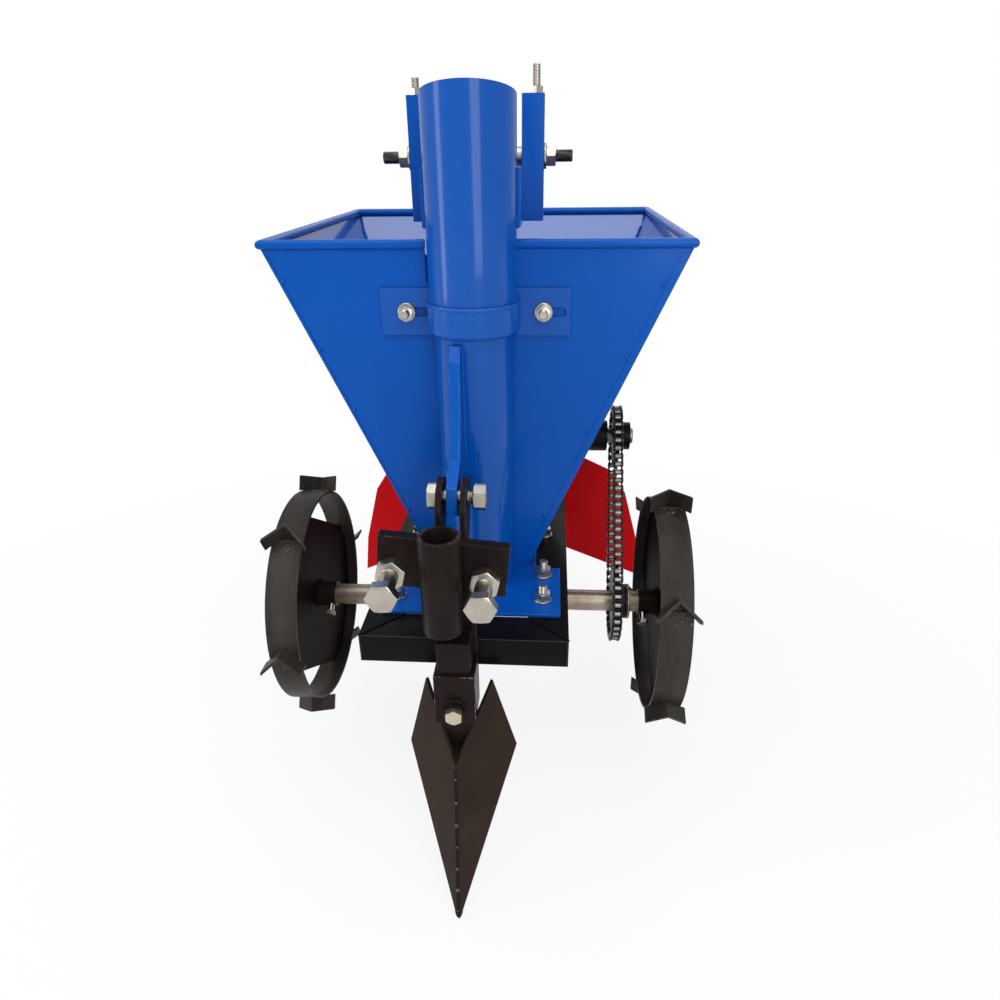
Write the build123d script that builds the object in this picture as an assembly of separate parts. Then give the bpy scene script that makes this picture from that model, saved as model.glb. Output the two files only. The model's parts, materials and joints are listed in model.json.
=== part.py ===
"""Single-row potato planter for a walking tractor, built from named parts.

Millimetres, +Z up, front of the machine towards -Y.  Everything is laid out in a machine
frame with the seed tube's axis at X 0, Y 0 and the top of the angle-iron frame at Z 0.
The exported part has its origin in the middle of the hitch sleeve.
"""
import math
import os

from build123d import *

os.makedirs("parts", exist_ok=True)

# Fits
RUN = 0.05
SLIDE = 0.3

# Fasteners, as multiples of the shank's radius
FLATS = 3.05
NUT_H = 1.6
HEAD_H = 1.3
WASHER_R = 2.0
WASHER_T = 0.4
END_H = 1.6

# Seed tube, an upper tube that laps over a lower one
TUBE_R = 65.5
TUBE_WALL = 5.5
LOWER_R = TUBE_R - TUBE_WALL
TUBE_TOP = 757.0
TUBE_SLOPE = 14.0
TUBE_REAR_DROP = 70.0
TUBE_JOINT = 435.0
TUBE_LAP = 35.0
TUBE_FOOT = -40.0
WINDOW_HALF = 46.0
WINDOW_Z = 530.0

# Hopper sheets
SHEET = 2.0
FRONT_Y = 20.0
HOPPER_Z0 = 6.0
HOPPER_Z1 = 548.0
HOPPER_TOP_HALF = 322.0
HOPPER_FOOT_HALF = 84.0
HOPPER_TOP_Y = 635.0
HOPPER_FOOT_Y = 300.0
RIM_R = 7.0
NOTCH_W = 7.0
NOTCH_Z = 500.0
SIDE_HOLE_GAP = 4.0

# Collar that clamps the tube to the hopper
COLLAR_T = 5.0
COLLAR_H = 38.0
COLLAR_EAR_END = 145.0
COLLAR_EAR_H = 70.0
COLLAR_BOLT_X = 105.0
COLLAR_BOLT_R = 7.0
COLLAR_SLOT = 46.0
COLLAR_SLOT_SHIFT = 12.0

# Angle-iron frame and base plate
FRAME_LEFT = -178.0
FRAME_RIGHT = 155.0
FRAME_BACK = 330.0
LEG_DOWN = 50.0
LEG_TOP = 65.0
LEG_T = 5.0
BASE_T = HOPPER_Z0
BASE_FRONT = -133.0
BASE_SIDE_LAP = 13.0
BASE_LEG_INSET = 57.0
BASE_BACK = 150.0
BOLT_INSET = 43.0
BOLT_R = 8.0
BOLT_HOLE_R = BOLT_R + 0.5
BASE_BOLT_Y = -88.0

# Ground wheels
AXLE_Y = 74.0
AXLE_Z = -98.0
AXLE_R = 20.0
WHEEL_R = 203.0
WHEEL_BAND = 5.0
TREAD = 55.0
WHEEL_INNER = 308.0
DISC_T = 8.0
DISC_HALF_H = 145.0
LEFT_DISC_TURN = -32.0
RIGHT_DISC_TURN = 28.0
HUB_R = 24.0
HUB_INNER = 13.5
HUB_OUTER = 8.0
SET_BOLT_R = 6.0
SET_BOLT_IN = 5.0
SET_BOLT_OUT = 14.0
SET_BOLT_TURN = 125.0
AXLE_END = 6.0
LUG_COUNT = 6
LUG_REACH = 29.0
LUG_HALF = 36.0
LUG_DEPTH = 34.0
LUG_T = 7.0
LEFT_LUG_PHASE = 30.0
RIGHT_LUG_PHASE = 0.0
BEARING_W = 44.0
BEARING_FOOT = 14.0
BEARING_R = 42.0
BEARING_NECK = 33.6
BEARING_BOLT_SPACING = 164.0

# Roller chain drive
PITCH = 15.875
DRIVE_TEETH = 28
DRIVEN_TEETH = 21
LINKS = 66
CHAIN_X = 250.0
CHAIN_LEAN = 35.8
ROLLER_R = 5.08
ROLLER_HALF = 5.5
LINK_T = 2.0
LINK_H = 14.4
LINK_OUTER_H = 13.0
TOOTH_HALF = ROLLER_HALF - 0.6
SEAT_R = 6.2
SEAT_TURNS = (-112.5, -67.5, -22.5, 22.5, 67.5, 112.5)
TOOTH_RISE = 4.5
TIP_LEANS = (0.86, 1.14)
DRIVE_HUB_R = 33.0
DRIVEN_HUB_R = 27.0
SPROCKET_HUB = 22.0

# Cup elevator
UPPER_Y = 120.0
UPPER_Z = 668.0
UPPER_SHAFT_R = 9.0
UPPER_SHAFT_OUT = 43.0
LOWER_SHAFT_R = 15.0
LOWER_SHAFT_LEFT = -206.0
SHAFT_END = 6.0
PULLEY_R = 38.0
PULLEY_HALF = 34.0
BELT_T = 4.0
BELT_HALF = 30.0
BELT_GAP = 0.2
CUP_COUNT = 12
CUP_R = 22.0
CUP_FOOT_R = 15.0
CUP_H = 24.0
CUP_WALL = 2.0
CUP_TAB = 2.5
HOUSING_R = 30.0
HOUSING_LEFT = -192.0
HOUSING_RIGHT = 232.0

# Take-up brackets
BRACKET_HALF = 101.0
BRACKET_T = 5.0
BRACKET_Z0 = 579.0
BRACKET_Z1 = 749.0
BRACKET_Y0 = 100.0
BRACKET_Y1 = 150.0
FLANGE_W = 33.0
GUSSET_Z = 655.0
SLOT_DOWN = 22.0
SLOT_UP = 32.0
ROD_R = 6.0
ROD_TOP = 786.0
ROD_GAP = 1.0
ROD_LEFT_SHORT = 14.0
EYE_R = 15.0
EYE_CHEEK = 2.0
SPACER_R = 13.5

# Hitch
HITCH_X = -32.0
TONGUE_X = -22.0
PIVOT_Y = -150.0
PIVOT_Z = 224.0
PIVOT_R = 12.0
PIVOT_STANDOFF = 8.0
EAR_GAP = 5.5
EAR_STEP = 4.0
EAR_FOOT = 22.0
EAR_EYE = ((-28.0, 22.0), (0.0, 32.0), (26.0, 20.0), (32.0, -4.0), (18.0, -28.0))
TONGUE_CREST = ((6.0, 10.0), (24.0, 30.0))
TONGUE_BACK = 36.0
TONGUE_BACK_RISE = 112.0
TONGUE_EYE = ((30.0, 44.0), (-22.0, 22.0), (-28.0, -18.0), (0.0, -32.0))
TONGUE_TAIL = 68.0
TONGUE_T = 16.0
EAR_T = 9.0
CROSS_BACK = -197.0
CROSS_T = 20.0
CROSS_Z0 = 101.0
CROSS_Z1 = 183.0
CROSS_LEFT = 98.0
CROSS_RIGHT = 94.0
CROSS_ROLL = 5.5
SLEEVE_R = 30.0
SLEEVE_BORE_R = 24.0
SLEEVE_Z0 = 54.0
SLEEVE_Z1 = 210.0
ADJUST_R = 13.5
ADJUST_LEFT = -75.0
ADJUST_RIGHT = 62.0
ADJUST_DROP = -13.0
ADJUST_FRONT = 66.0
ADJUST_BACK = 26.0

# Furrow opener on its stem
STEM_X = -17.0
STEM = 50.0
STEM_WALL = 6.0
STEM_LEG_HALF = 30.0
STEM_Z0 = -160.0
STEM_Z1 = 40.0
STEM_LEG_Z0 = -15.0
SOCKET_WALL = 6.0
SOCKET_Z0 = -104.0
SET_Z = -75.0
BLADE_T = 6.0
BLADE_HALF = 88.0
BLADE_SHIFT = 4.0
BLADE_SWEEP = 74.0
BLADE_DROP = 14.0
BLADE_TIP_UP = 0.45
BLADE_TIP_OUT = 0.6
RIDGE_Z1 = -172.0
RIDGE_Z0 = -458.0
RIDGE_AHEAD = 28.0
RIDGE_RAKE = 56.0

# Covering plates at the back
COVER_POST = 30.0
COVER_POST_X = 100.0
COVER_SOCKET_WALL = 5.0
COVER_T = 5.0
COVER_YAW = 23.0
COVER_Y = 400.0
COVER_OUTLINE = ((80, -129), (358, -306), (345, -208), (304, -62), (260, 6), (197, 46), (80, 56))
COVER_ARM_Z = -105.0
COVER_POST_TOP = 22.0
COVER_SOCKET_Z0 = -58.0
COVER_SOCKET_Z1 = 12.0

# Worked out from the sizes above
ROD_X = BRACKET_HALF - BRACKET_T - ROD_R - ROD_GAP
UPPER_SHAFT_HALF = BRACKET_HALF + UPPER_SHAFT_OUT
CROSS_FRONT = CROSS_BACK - CROSS_T
FRAME_FRONT = CROSS_BACK + SLIDE
SOCKET_Z1 = STEM_LEG_Z0 - SLIDE
SLEEVE_Y = CROSS_FRONT - SLEEVE_R
STEM_Y = CROSS_FRONT - STEM / 2
ORIGIN = (HITCH_X, SLEEVE_Y, (SLEEVE_Z0 + SLEEVE_Z1) / 2)
COLLAR_Z0 = TUBE_JOINT + 2
COLLAR_BOLT_Z = COLLAR_Z0 + COLLAR_H / 2 + 2
BOLT_XS = (FRAME_LEFT + BOLT_INSET, FRAME_RIGHT - BOLT_INSET)
BEARING_YS = (AXLE_Y - BEARING_BOLT_SPACING / 2, AXLE_Y + BEARING_BOLT_SPACING / 2)
DRIVE_R = PITCH * DRIVE_TEETH / (2 * math.pi)
DRIVEN_R = PITCH * DRIVEN_TEETH / (2 * math.pi)
BELT_IN = PULLEY_R + BELT_GAP
BELT_OUT = BELT_IN + BELT_T
BIG = 2000.0

NODES = {}


def put(name, *shapes):
    """Keep a node made of one or more separate solids."""
    NODES[name] = [solid for shape in shapes for solid in shape.solids()]


def box(x0, x1, y0, y1, z0, z1):
    """Return a box between two corners, in any order."""
    return Pos((x0 + x1) / 2, (y0 + y1) / 2, (z0 + z1) / 2) * Box(abs(x1 - x0), abs(y1 - y0), abs(z1 - z0))


def cyl_x(r, x0, x1, y, z):
    """Return a cylinder along X."""
    return Pos((x0 + x1) / 2, y, z) * Rot(0, 90, 0) * Cylinder(r, abs(x1 - x0))


def cyl_y(r, y0, y1, x, z):
    """Return a cylinder along Y."""
    return Pos(x, (y0 + y1) / 2, z) * Rot(90, 0, 0) * Cylinder(r, abs(y1 - y0))


def cyl_z(r, z0, z1, x=0.0, y=0.0):
    """Return a cylinder along Z."""
    return Pos(x, y, (z0 + z1) / 2) * Cylinder(r, abs(z1 - z0))


def hexagon(flats, height):
    """Return a hexagon prism on Z 0."""
    return extrude(RegularPolygon(flats / math.sqrt(3), 6), height)


def hex_x(flats, x0, x1, y, z):
    """Return a hexagon prism along X."""
    return Pos(min(x0, x1), y, z) * Rot(0, 90, 0) * hexagon(flats, abs(x1 - x0))


def hex_y(flats, y0, y1, x, z):
    """Return a hexagon prism along Y."""
    return Pos(x, max(y0, y1), z) * Rot(90, 0, 0) * hexagon(flats, abs(y1 - y0))


def hex_z(flats, z0, z1, x, y):
    """Return a hexagon prism along Z."""
    return Pos(x, y, min(z0, z1)) * hexagon(flats, abs(z1 - z0))


def washered_nut(r, z):
    """Return a washer and a nut stacked up from z on the Z axis, with no hole."""
    top = z + r * WASHER_T
    return cyl_z(r * WASHER_R, z, top) + hex_z(r * FLATS, top, top + r * NUT_H, 0, 0)


def bolt(r, under, over):
    """Return a bolt on the Z axis, its head below `under`, washer and nut above `over`."""
    end = over + r * (WASHER_T + NUT_H + END_H)
    shank = cyl_z(r, under - r * HEAD_H, end)
    return shank + hex_z(r * FLATS, under - r * HEAD_H, under, 0, 0) + washered_nut(r, over)


def prism_x(points, x0, x1):
    """Extrude a closed outline of (Y, Z) points from x0 to x1."""
    face = make_face(Polyline(*[(x0, y, z) for y, z in points], close=True))
    return extrude(face, amount=x1 - x0, dir=(1, 0, 0))


def prism_z(points, z0, z1):
    """Extrude a closed outline of (X, Y) points from z0 to z1."""
    face = make_face(Polyline(*[(x, y, z0) for x, y in points], close=True))
    return extrude(face, amount=z1 - z0, dir=(0, 0, 1))


def square_tube(x, y, half, wall, z0, z1):
    """Return an upright square tube."""
    inner = half - wall
    return box(x - half, x + half, y - half, y + half, z0, z1) - box(
        x - inner, x + inner, y - inner, y + inner, z0 - 1, z1 + 1)


def funnel(foot_half, foot_y0, foot_y1, top_half, top_y0, top_y1):
    """Return a flat-sided funnel between the hopper's foot and its top."""
    rings = []
    for half, y0, y1, z in ((foot_half, foot_y0, foot_y1, HOPPER_Z0), (top_half, top_y0, top_y1, HOPPER_Z1)):
        rings.append([(-half, y0, z), (half, y0, z), (half, y1, z), (-half, y1, z)])
    foot, top = rings
    faces = [Face(Wire.make_polygon(foot)), Face(Wire.make_polygon(top))]
    for k in range(4):
        n = (k + 1) % 4
        faces.append(Face(Wire.make_polygon([foot[k], foot[n], top[n], top[k]])))
    return Solid(Shell(faces))


def seed_tube():
    """Upper tube with its cup window, lapped over the lower tube."""
    upper = cyl_z(TUBE_R, TUBE_JOINT, TUBE_TOP) - cyl_z(LOWER_R, TUBE_JOINT - 1, TUBE_TOP + 1)
    upper -= box(-WINDOW_HALF, WINDOW_HALF, 0, BIG, WINDOW_Z, TUBE_TOP + 1)
    brow = [(-TUBE_R, TUBE_TOP), (0, TUBE_TOP - TUBE_SLOPE), (TUBE_R + 1, TUBE_TOP - TUBE_REAR_DROP),
            (TUBE_R + 1, TUBE_TOP + 1), (-TUBE_R, TUBE_TOP + 1)]
    upper -= prism_x(brow, -TUBE_R - 1, TUBE_R + 1)
    put("seed_tube_upper", upper)
    lower = cyl_z(LOWER_R, TUBE_FOOT, TUBE_JOINT + TUBE_LAP)
    put("seed_tube_lower", lower - cyl_z(LOWER_R - TUBE_WALL, TUBE_FOOT - 1, TUBE_JOINT + TUBE_LAP + 1))


def hopper():
    """Hopper of four sheets, a floor and a round-bar rim."""
    height = HOPPER_Z1 - HOPPER_Z0
    side_run = SHEET * math.hypot(1, (HOPPER_TOP_HALF - HOPPER_FOOT_HALF) / height)
    rear_run = SHEET * math.hypot(1, (HOPPER_TOP_Y - HOPPER_FOOT_Y) / height)
    back = FRONT_Y + SHEET
    inner_foot, inner_top = HOPPER_FOOT_HALF - side_run, HOPPER_TOP_HALF - side_run
    outer = funnel(HOPPER_FOOT_HALF, FRONT_Y, HOPPER_FOOT_Y, HOPPER_TOP_HALF, FRONT_Y, HOPPER_TOP_Y)
    inner = funnel(inner_foot, back, HOPPER_FOOT_Y - rear_run, inner_top, back, HOPPER_TOP_Y - rear_run)
    between = funnel(inner_foot, back, HOPPER_FOOT_Y + BIG, inner_top, back, HOPPER_TOP_Y + BIG)
    shell = outer - inner
    ahead = box(-BIG, BIG, FRONT_Y - BIG, back, -BIG, BIG)
    front = shell & ahead
    front -= cyl_z(LOWER_R, HOPPER_Z0 - 1, TUBE_JOINT)
    front -= cyl_z(TUBE_R, TUBE_JOINT, HOPPER_Z1 + 1)
    front -= box(-TUBE_R - NOTCH_W, 0, 0, BIG, NOTCH_Z, HOPPER_Z1 + 1)
    for sx in (-1, 1):
        front -= cyl_y(COLLAR_BOLT_R, 0, FRONT_Y * 2, sx * COLLAR_BOLT_X, COLLAR_BOLT_Z)
    put("hopper_front", front)
    rest = shell - ahead
    put("hopper_rear", rest & between)
    sides = rest - between
    sides -= cyl_x(LOWER_SHAFT_R + SIDE_HOLE_GAP, -BIG, BIG, LOWER_Y, LOWER_Z)
    for name, sx in (("left", -1), ("right", 1)):
        put(f"hopper_side_{name}", *[s for s in sides.solids() if s.center().X * sx > 0])
    floor = inner & box(-BIG, BIG, -BIG, BIG, HOPPER_Z0, HOPPER_Z0 + SHEET)
    put("hopper_floor", floor - cyl_z(LOWER_R, 0, HOPPER_Z1))
    rim()


def rim():
    """Round bar on the hopper's top edge, mitred at the corners."""
    z = HOPPER_Z1 + RIM_R
    half, y0, y1 = HOPPER_TOP_HALF - SHEET / 2, FRONT_Y + SHEET / 2, HOPPER_TOP_Y - SHEET / 2
    outer, inner = mitre_rings(-half, half, y0, y1, RIM_R, RIM_R)
    bars = [cyl_x(RIM_R, -BIG, BIG, y0, z), cyl_y(RIM_R, -BIG, BIG, half, z),
            cyl_x(RIM_R, -BIG, BIG, y1, z), cyl_y(RIM_R, -BIG, BIG, -half, z)]
    pieces = [bar & mitre(outer, inner, k, z - RIM_R, z + RIM_R) for k, bar in enumerate(bars)]
    ring = pieces[0] + pieces[1] + pieces[2] + pieces[3]
    notch = box(-TUBE_R - NOTCH_W, 0, 0, y0 + 2 * RIM_R, HOPPER_Z1 - 1, z + RIM_R + 1)
    put("hopper_rim", ring - cyl_z(TUBE_R, HOPPER_Z1 - 1, z + RIM_R + 1) - notch)


def mitre_rings(x0, x1, y0, y1, out, into):
    """Return the outer and inner corners of a mitred rectangle of bars."""
    rings = []
    for grow in (out, -into):
        left, right, near, far = x0 - grow, x1 + grow, y0 - grow, y1 + grow
        rings.append([(left, near), (right, near), (right, far), (left, far)])
    return rings


def mitre(outer, inner, k, z0, z1):
    """Return the block that one mitred bar lies in."""
    n = (k + 1) % 4
    return prism_z([outer[k], outer[n], inner[n], inner[k]], z0, z1)


def collar():
    """Strap round the tube with slotted ears bolted to the hopper front."""
    z1 = COLLAR_Z0 + COLLAR_H
    ring = cyl_z(TUBE_R + COLLAR_T, COLLAR_Z0, z1) - cyl_z(TUBE_R, COLLAR_Z0 - 1, z1 + 1)
    strap = ring & box(-BIG, BIG, -BIG, FRONT_Y, COLLAR_Z0, z1)
    inner_end = math.sqrt(TUBE_R ** 2 - FRONT_Y ** 2) - COLLAR_T
    bolts = []
    for sx in (-1, 1):
        x = sx * COLLAR_BOLT_X
        ear = box(sx * inner_end, sx * COLLAR_EAR_END, FRONT_Y - COLLAR_T, FRONT_Y,
                  COLLAR_BOLT_Z - COLLAR_EAR_H / 2, COLLAR_BOLT_Z + COLLAR_EAR_H / 2)
        slot = Rot(90, 0, 0) * extrude(SlotOverall(COLLAR_SLOT, 2 * COLLAR_BOLT_R), FRONT_Y * 4, both=True)
        strap += ear - cyl_z(TUBE_R, 0, BIG) - Pos(x + COLLAR_SLOT_SHIFT, 0, COLLAR_BOLT_Z) * slot
        y1, y2 = FRONT_Y - COLLAR_T, FRONT_Y + SHEET
        bolts.append(Pos(x, 0, COLLAR_BOLT_Z) * Rot(90, 0, 0) * bolt(COLLAR_BOLT_R, -y2, -y1))
    put("collar_strap", strap)
    put("collar_bolts", *bolts)


def frame_block(inset, z0, z1):
    """Return a block over the frame's plan, set in from its edges."""
    return box(FRAME_LEFT + inset, FRAME_RIGHT - inset, FRAME_FRONT + inset, FRAME_BACK - inset, z0, z1)


def frame():
    """Four mitred angle irons and the base plate bolted on them."""
    ring = frame_block(0, -LEG_DOWN, 0) - frame_block(LEG_T, -BIG, -LEG_T) - frame_block(LEG_TOP, -BIG, BIG)
    for x in BOLT_XS:
        for y in (BASE_BOLT_Y, *BEARING_YS):
            ring -= cyl_z(BOLT_HOLE_R, -LEG_DOWN, 1, x, y)
    outer, inner = mitre_rings(FRAME_LEFT, FRAME_RIGHT, FRAME_FRONT, FRAME_BACK, 0, LEG_TOP)
    for k, name in enumerate(("front", "right", "rear", "left")):
        put(f"frame_{name}", ring & mitre(outer, inner, k, -LEG_DOWN, 0))
    left, right = FRAME_LEFT + 2 * BASE_SIDE_LAP, FRAME_RIGHT - BASE_SIDE_LAP
    leg_left, leg_right = FRAME_LEFT + BASE_LEG_INSET, FRAME_RIGHT - BASE_LEG_INSET
    step = FRONT_Y - SHEET
    outline = [(left, BASE_FRONT), (right, BASE_FRONT), (right, step), (leg_right, step),
               (leg_right, BASE_BACK), (leg_left, BASE_BACK), (leg_left, step), (left, step)]
    base = prism_z(outline, 0, BASE_T) - cyl_z(LOWER_R, -1, BASE_T + 1)
    for x in BOLT_XS:
        for y in (BASE_BOLT_Y, BEARING_YS[0]):
            base -= cyl_z(BOLT_HOLE_R, -1, BASE_T + 1, x, y)
    put("base_plate", base)


def axle_bearings():
    """Cast blocks under the side angles that carry the axle."""
    blocks = []
    bolts = []
    half_foot = BEARING_BOLT_SPACING / 2 + 3 * BOLT_R
    for x in BOLT_XS:
        x0, x1 = x - BEARING_W / 2, x + BEARING_W / 2
        block = box(x0, x1, AXLE_Y - half_foot, AXLE_Y + half_foot, -LEG_T - BEARING_FOOT, -LEG_T)
        block += box(x0, x1, AXLE_Y - BEARING_NECK, AXLE_Y + BEARING_NECK, AXLE_Z, -LEG_T - BEARING_FOOT)
        block += cyl_x(BEARING_R, x0, x1, AXLE_Y, AXLE_Z)
        block -= cyl_x(AXLE_R + RUN, x0 - 1, x1 + 1, AXLE_Y, AXLE_Z)
        for y in BEARING_YS:
            block -= cyl_z(BOLT_HOLE_R, AXLE_Z, 0, x, y)
        blocks.append(block)
        bolts.append(Pos(x, BEARING_YS[0], 0) * bolt(BOLT_R, -LEG_T - BEARING_FOOT, BASE_T))
        bolts.append(Pos(x, BEARING_YS[1], 0) * bolt(BOLT_R, -LEG_T - BEARING_FOOT, 0))
        bolts.append(Pos(x, BASE_BOLT_Y, 0) * bolt(BOLT_R, -LEG_T, BASE_T))
    put("axle_bearings", *blocks)
    put("frame_bolts", *bolts)


def lug_group(x0, x1, phase):
    """Return the chevron lugs of one wheel, each an angle iron on end, point trailing."""
    mid = (x0 + x1) / 2
    back = LUG_DEPTH / 2
    outline = [(mid - LUG_HALF, -back), (mid, back), (mid + LUG_HALF, -back),
               (mid + LUG_HALF, -back - LUG_T), (mid, back - LUG_T), (mid - LUG_HALF, -back - LUG_T)]
    lug = prism_z(outline, WHEEL_R - LUG_REACH / 4, WHEEL_R + LUG_REACH)
    lug -= cyl_x(WHEEL_R, mid - BIG, mid + BIG, 0, 0)
    turned = [Rot(phase + 360 * k / LUG_COUNT, 0, 0) * lug for k in range(LUG_COUNT)]
    return [Pos(0, AXLE_Y, AXLE_Z) * one for one in turned]


def wheels():
    """Axle with two lugged steel wheels."""
    hubs = []
    discs = []
    bolts = []
    inner_r = WHEEL_R - WHEEL_BAND
    for name, sx, phase, turn in (
            ("left", -1, LEFT_LUG_PHASE, LEFT_DISC_TURN), ("right", 1, RIGHT_LUG_PHASE, RIGHT_DISC_TURN)):
        x0, x1 = sx * WHEEL_INNER, sx * (WHEEL_INNER + TREAD)
        mid = (x0 + x1) / 2
        band = cyl_x(WHEEL_R, x0, x1, AXLE_Y, AXLE_Z)
        put(f"wheel_band_{name}", band - cyl_x(inner_r, x0 - sx * BIG, x1 + sx * BIG, AXLE_Y, AXLE_Z))
        put(f"wheel_lugs_{name}", *lug_group(x0, x1, phase))
        disc = cyl_x(inner_r, mid - DISC_T / 2, mid + DISC_T / 2, 0, 0)
        disc = disc & box(mid - BIG, mid + BIG, -BIG, BIG, -DISC_HALF_H, DISC_HALF_H)
        disc -= cyl_x(HUB_R, mid - BIG, mid + BIG, 0, 0)
        discs.append(Pos(0, AXLE_Y, AXLE_Z) * Rot(turn, 0, 0) * disc)
        hub = cyl_x(HUB_R, x0 - sx * HUB_INNER, x1 + sx * HUB_OUTER, AXLE_Y, AXLE_Z)
        hub -= cyl_x(AXLE_R, x0 - BIG, x1 + BIG, AXLE_Y, AXLE_Z)
        lay = Pos(x0 - sx * SET_BOLT_IN, AXLE_Y, AXLE_Z) * Rot(SET_BOLT_TURN, 0, 0)
        hub -= lay * cyl_z(SET_BOLT_R, 0, BIG)
        hubs.append(hub)
        under = HUB_R + SET_BOLT_OUT
        top = under + SET_BOLT_R * HEAD_H
        bolts.append(lay * (cyl_z(SET_BOLT_R, AXLE_R, top) + hex_z(SET_BOLT_R * FLATS, under, top, 0, 0)))
    put("wheel_hubs", *hubs)
    put("wheel_discs", *discs)
    put("hub_bolts", *bolts)
    end = WHEEL_INNER + TREAD + HUB_OUTER + AXLE_END
    put("axle", cyl_x(AXLE_R, -end, end, AXLE_Y, AXLE_Z))


def chain_length(centres):
    """Return the loop length of the chain for a distance between shafts."""
    b = math.asin((DRIVE_R - DRIVEN_R) / centres)
    return DRIVE_R * (math.pi + 2 * b) + DRIVEN_R * (math.pi - 2 * b) + 2 * centres * math.cos(b)


def shaft_distance():
    """Return the distance between shafts that a chain of LINKS pitches needs."""
    low, high = DRIVE_R + DRIVEN_R, LINKS * PITCH
    for _ in range(60):
        middle = (low + high) / 2
        if chain_length(middle) > LINKS * PITCH:
            high = middle
        else:
            low = middle
    return low


CENTRES = shaft_distance()
LEAN = math.radians(CHAIN_LEAN)
LOWER_Y = AXLE_Y + CENTRES * math.sin(LEAN)
LOWER_Z = AXLE_Z + CENTRES * math.cos(LEAN)
BETA = math.asin((DRIVE_R - DRIVEN_R) / CENTRES)
LEAVE = math.pi - LEAN - BETA
MEET = BETA - LEAN
DRIVE_ARC = DRIVE_R * (math.pi + 2 * BETA)
DRIVEN_ARC = DRIVEN_R * (math.pi - 2 * BETA)
STRAND = CENTRES * math.cos(BETA)


def around(y, z, r, angle):
    """Return the (Y, Z) point at an angle on a circle."""
    return y + r * math.cos(angle), z + r * math.sin(angle)


def along(start, end, share):
    """Return the point a share of the way between two points."""
    return tuple(a + share * (b - a) for a, b in zip(start, end))


def chain_point(s):
    """Return the (Y, Z) point of the pitch line at a distance along the loop."""
    if s < DRIVE_ARC:
        return around(AXLE_Y, AXLE_Z, DRIVE_R, LEAVE + s / DRIVE_R)
    s -= DRIVE_ARC
    if s < STRAND:
        start = around(AXLE_Y, AXLE_Z, DRIVE_R, MEET)
        return along(start, around(LOWER_Y, LOWER_Z, DRIVEN_R, MEET), s / STRAND)
    s -= STRAND
    if s < DRIVEN_ARC:
        return around(LOWER_Y, LOWER_Z, DRIVEN_R, MEET + s / DRIVEN_R)
    s -= DRIVEN_ARC
    start = around(LOWER_Y, LOWER_Z, DRIVEN_R, LEAVE)
    return along(start, around(AXLE_Y, AXLE_Z, DRIVE_R, LEAVE), s / STRAND)


def sprocket(teeth, r, phase, y, z, shaft_r, hub_r):
    """Return a toothed sprocket with a hub on its outer side."""
    outline = []
    for k in range(teeth):
        a = phase + 2 * math.pi * k / teeth
        centre = around(y, z, r, a)
        for turn in SEAT_TURNS:
            outline.append(around(*centre, SEAT_R, a + math.pi - math.radians(turn)))
        for lean in TIP_LEANS:
            outline.append(around(y, z, r + TOOTH_RISE, a + lean * math.pi / teeth))
    plate = prism_x(outline, CHAIN_X - TOOTH_HALF, CHAIN_X + TOOTH_HALF)
    hub = cyl_x(hub_r, CHAIN_X + TOOTH_HALF, CHAIN_X + TOOTH_HALF + SPROCKET_HUB, y, z)
    return plate + hub - cyl_x(shaft_r, CHAIN_X - BIG, CHAIN_X + BIG, y, z)


def chain_drive():
    """Roller chain from the axle up to the elevator shaft, with both sprockets."""
    put("drive_sprocket", sprocket(DRIVE_TEETH, DRIVE_R, LEAVE, AXLE_Y, AXLE_Z, AXLE_R, DRIVE_HUB_R))
    reached = DRIVE_ARC + STRAND
    first = math.ceil(reached / PITCH) * PITCH - reached
    phase = MEET + first / DRIVEN_R
    driven = sprocket(DRIVEN_TEETH, DRIVEN_R, phase, LOWER_Y, LOWER_Z, LOWER_SHAFT_R, DRIVEN_HUB_R)
    put("driven_sprocket", driven)
    pins = [chain_point(k * PITCH) for k in range(LINKS)]
    pieces = []
    flats = 2 * ROLLER_R * math.cos(math.pi / 8)
    roller = extrude(RegularPolygon(flats / 2, 8, major_radius=False), 2 * ROLLER_HALF)
    for k, (y0, z0) in enumerate(pins):
        y1, z1 = pins[(k + 1) % LINKS]
        heading = math.degrees(math.atan2(z1 - z0, y1 - y0))
        pieces.append(Pos(CHAIN_X - ROLLER_HALF, y0, z0) * Rot(heading, 0, 0) * Rot(0, 90, 0) * roller)
        outer = k % 2
        h = (LINK_OUTER_H if outer else LINK_H) / 2
        span = math.hypot(y1 - y0, z1 - z0) / 2 + h
        outline = [(-span, -h / 2), (-span + h / 2, -h), (span - h / 2, -h), (span, -h / 2),
                   (span, h / 2), (span - h / 2, h), (-span + h / 2, h), (-span, h / 2)]
        for sx in (-1, 1):
            inside = ROLLER_HALF + outer * LINK_T
            plate = prism_x(outline, sx * inside, sx * (inside + LINK_T))
            pieces.append(Pos(CHAIN_X, (y0 + y1) / 2, (z0 + z1) / 2) * Rot(heading, 0, 0) * plate)
    put("drive_chain", *pieces)


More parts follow.
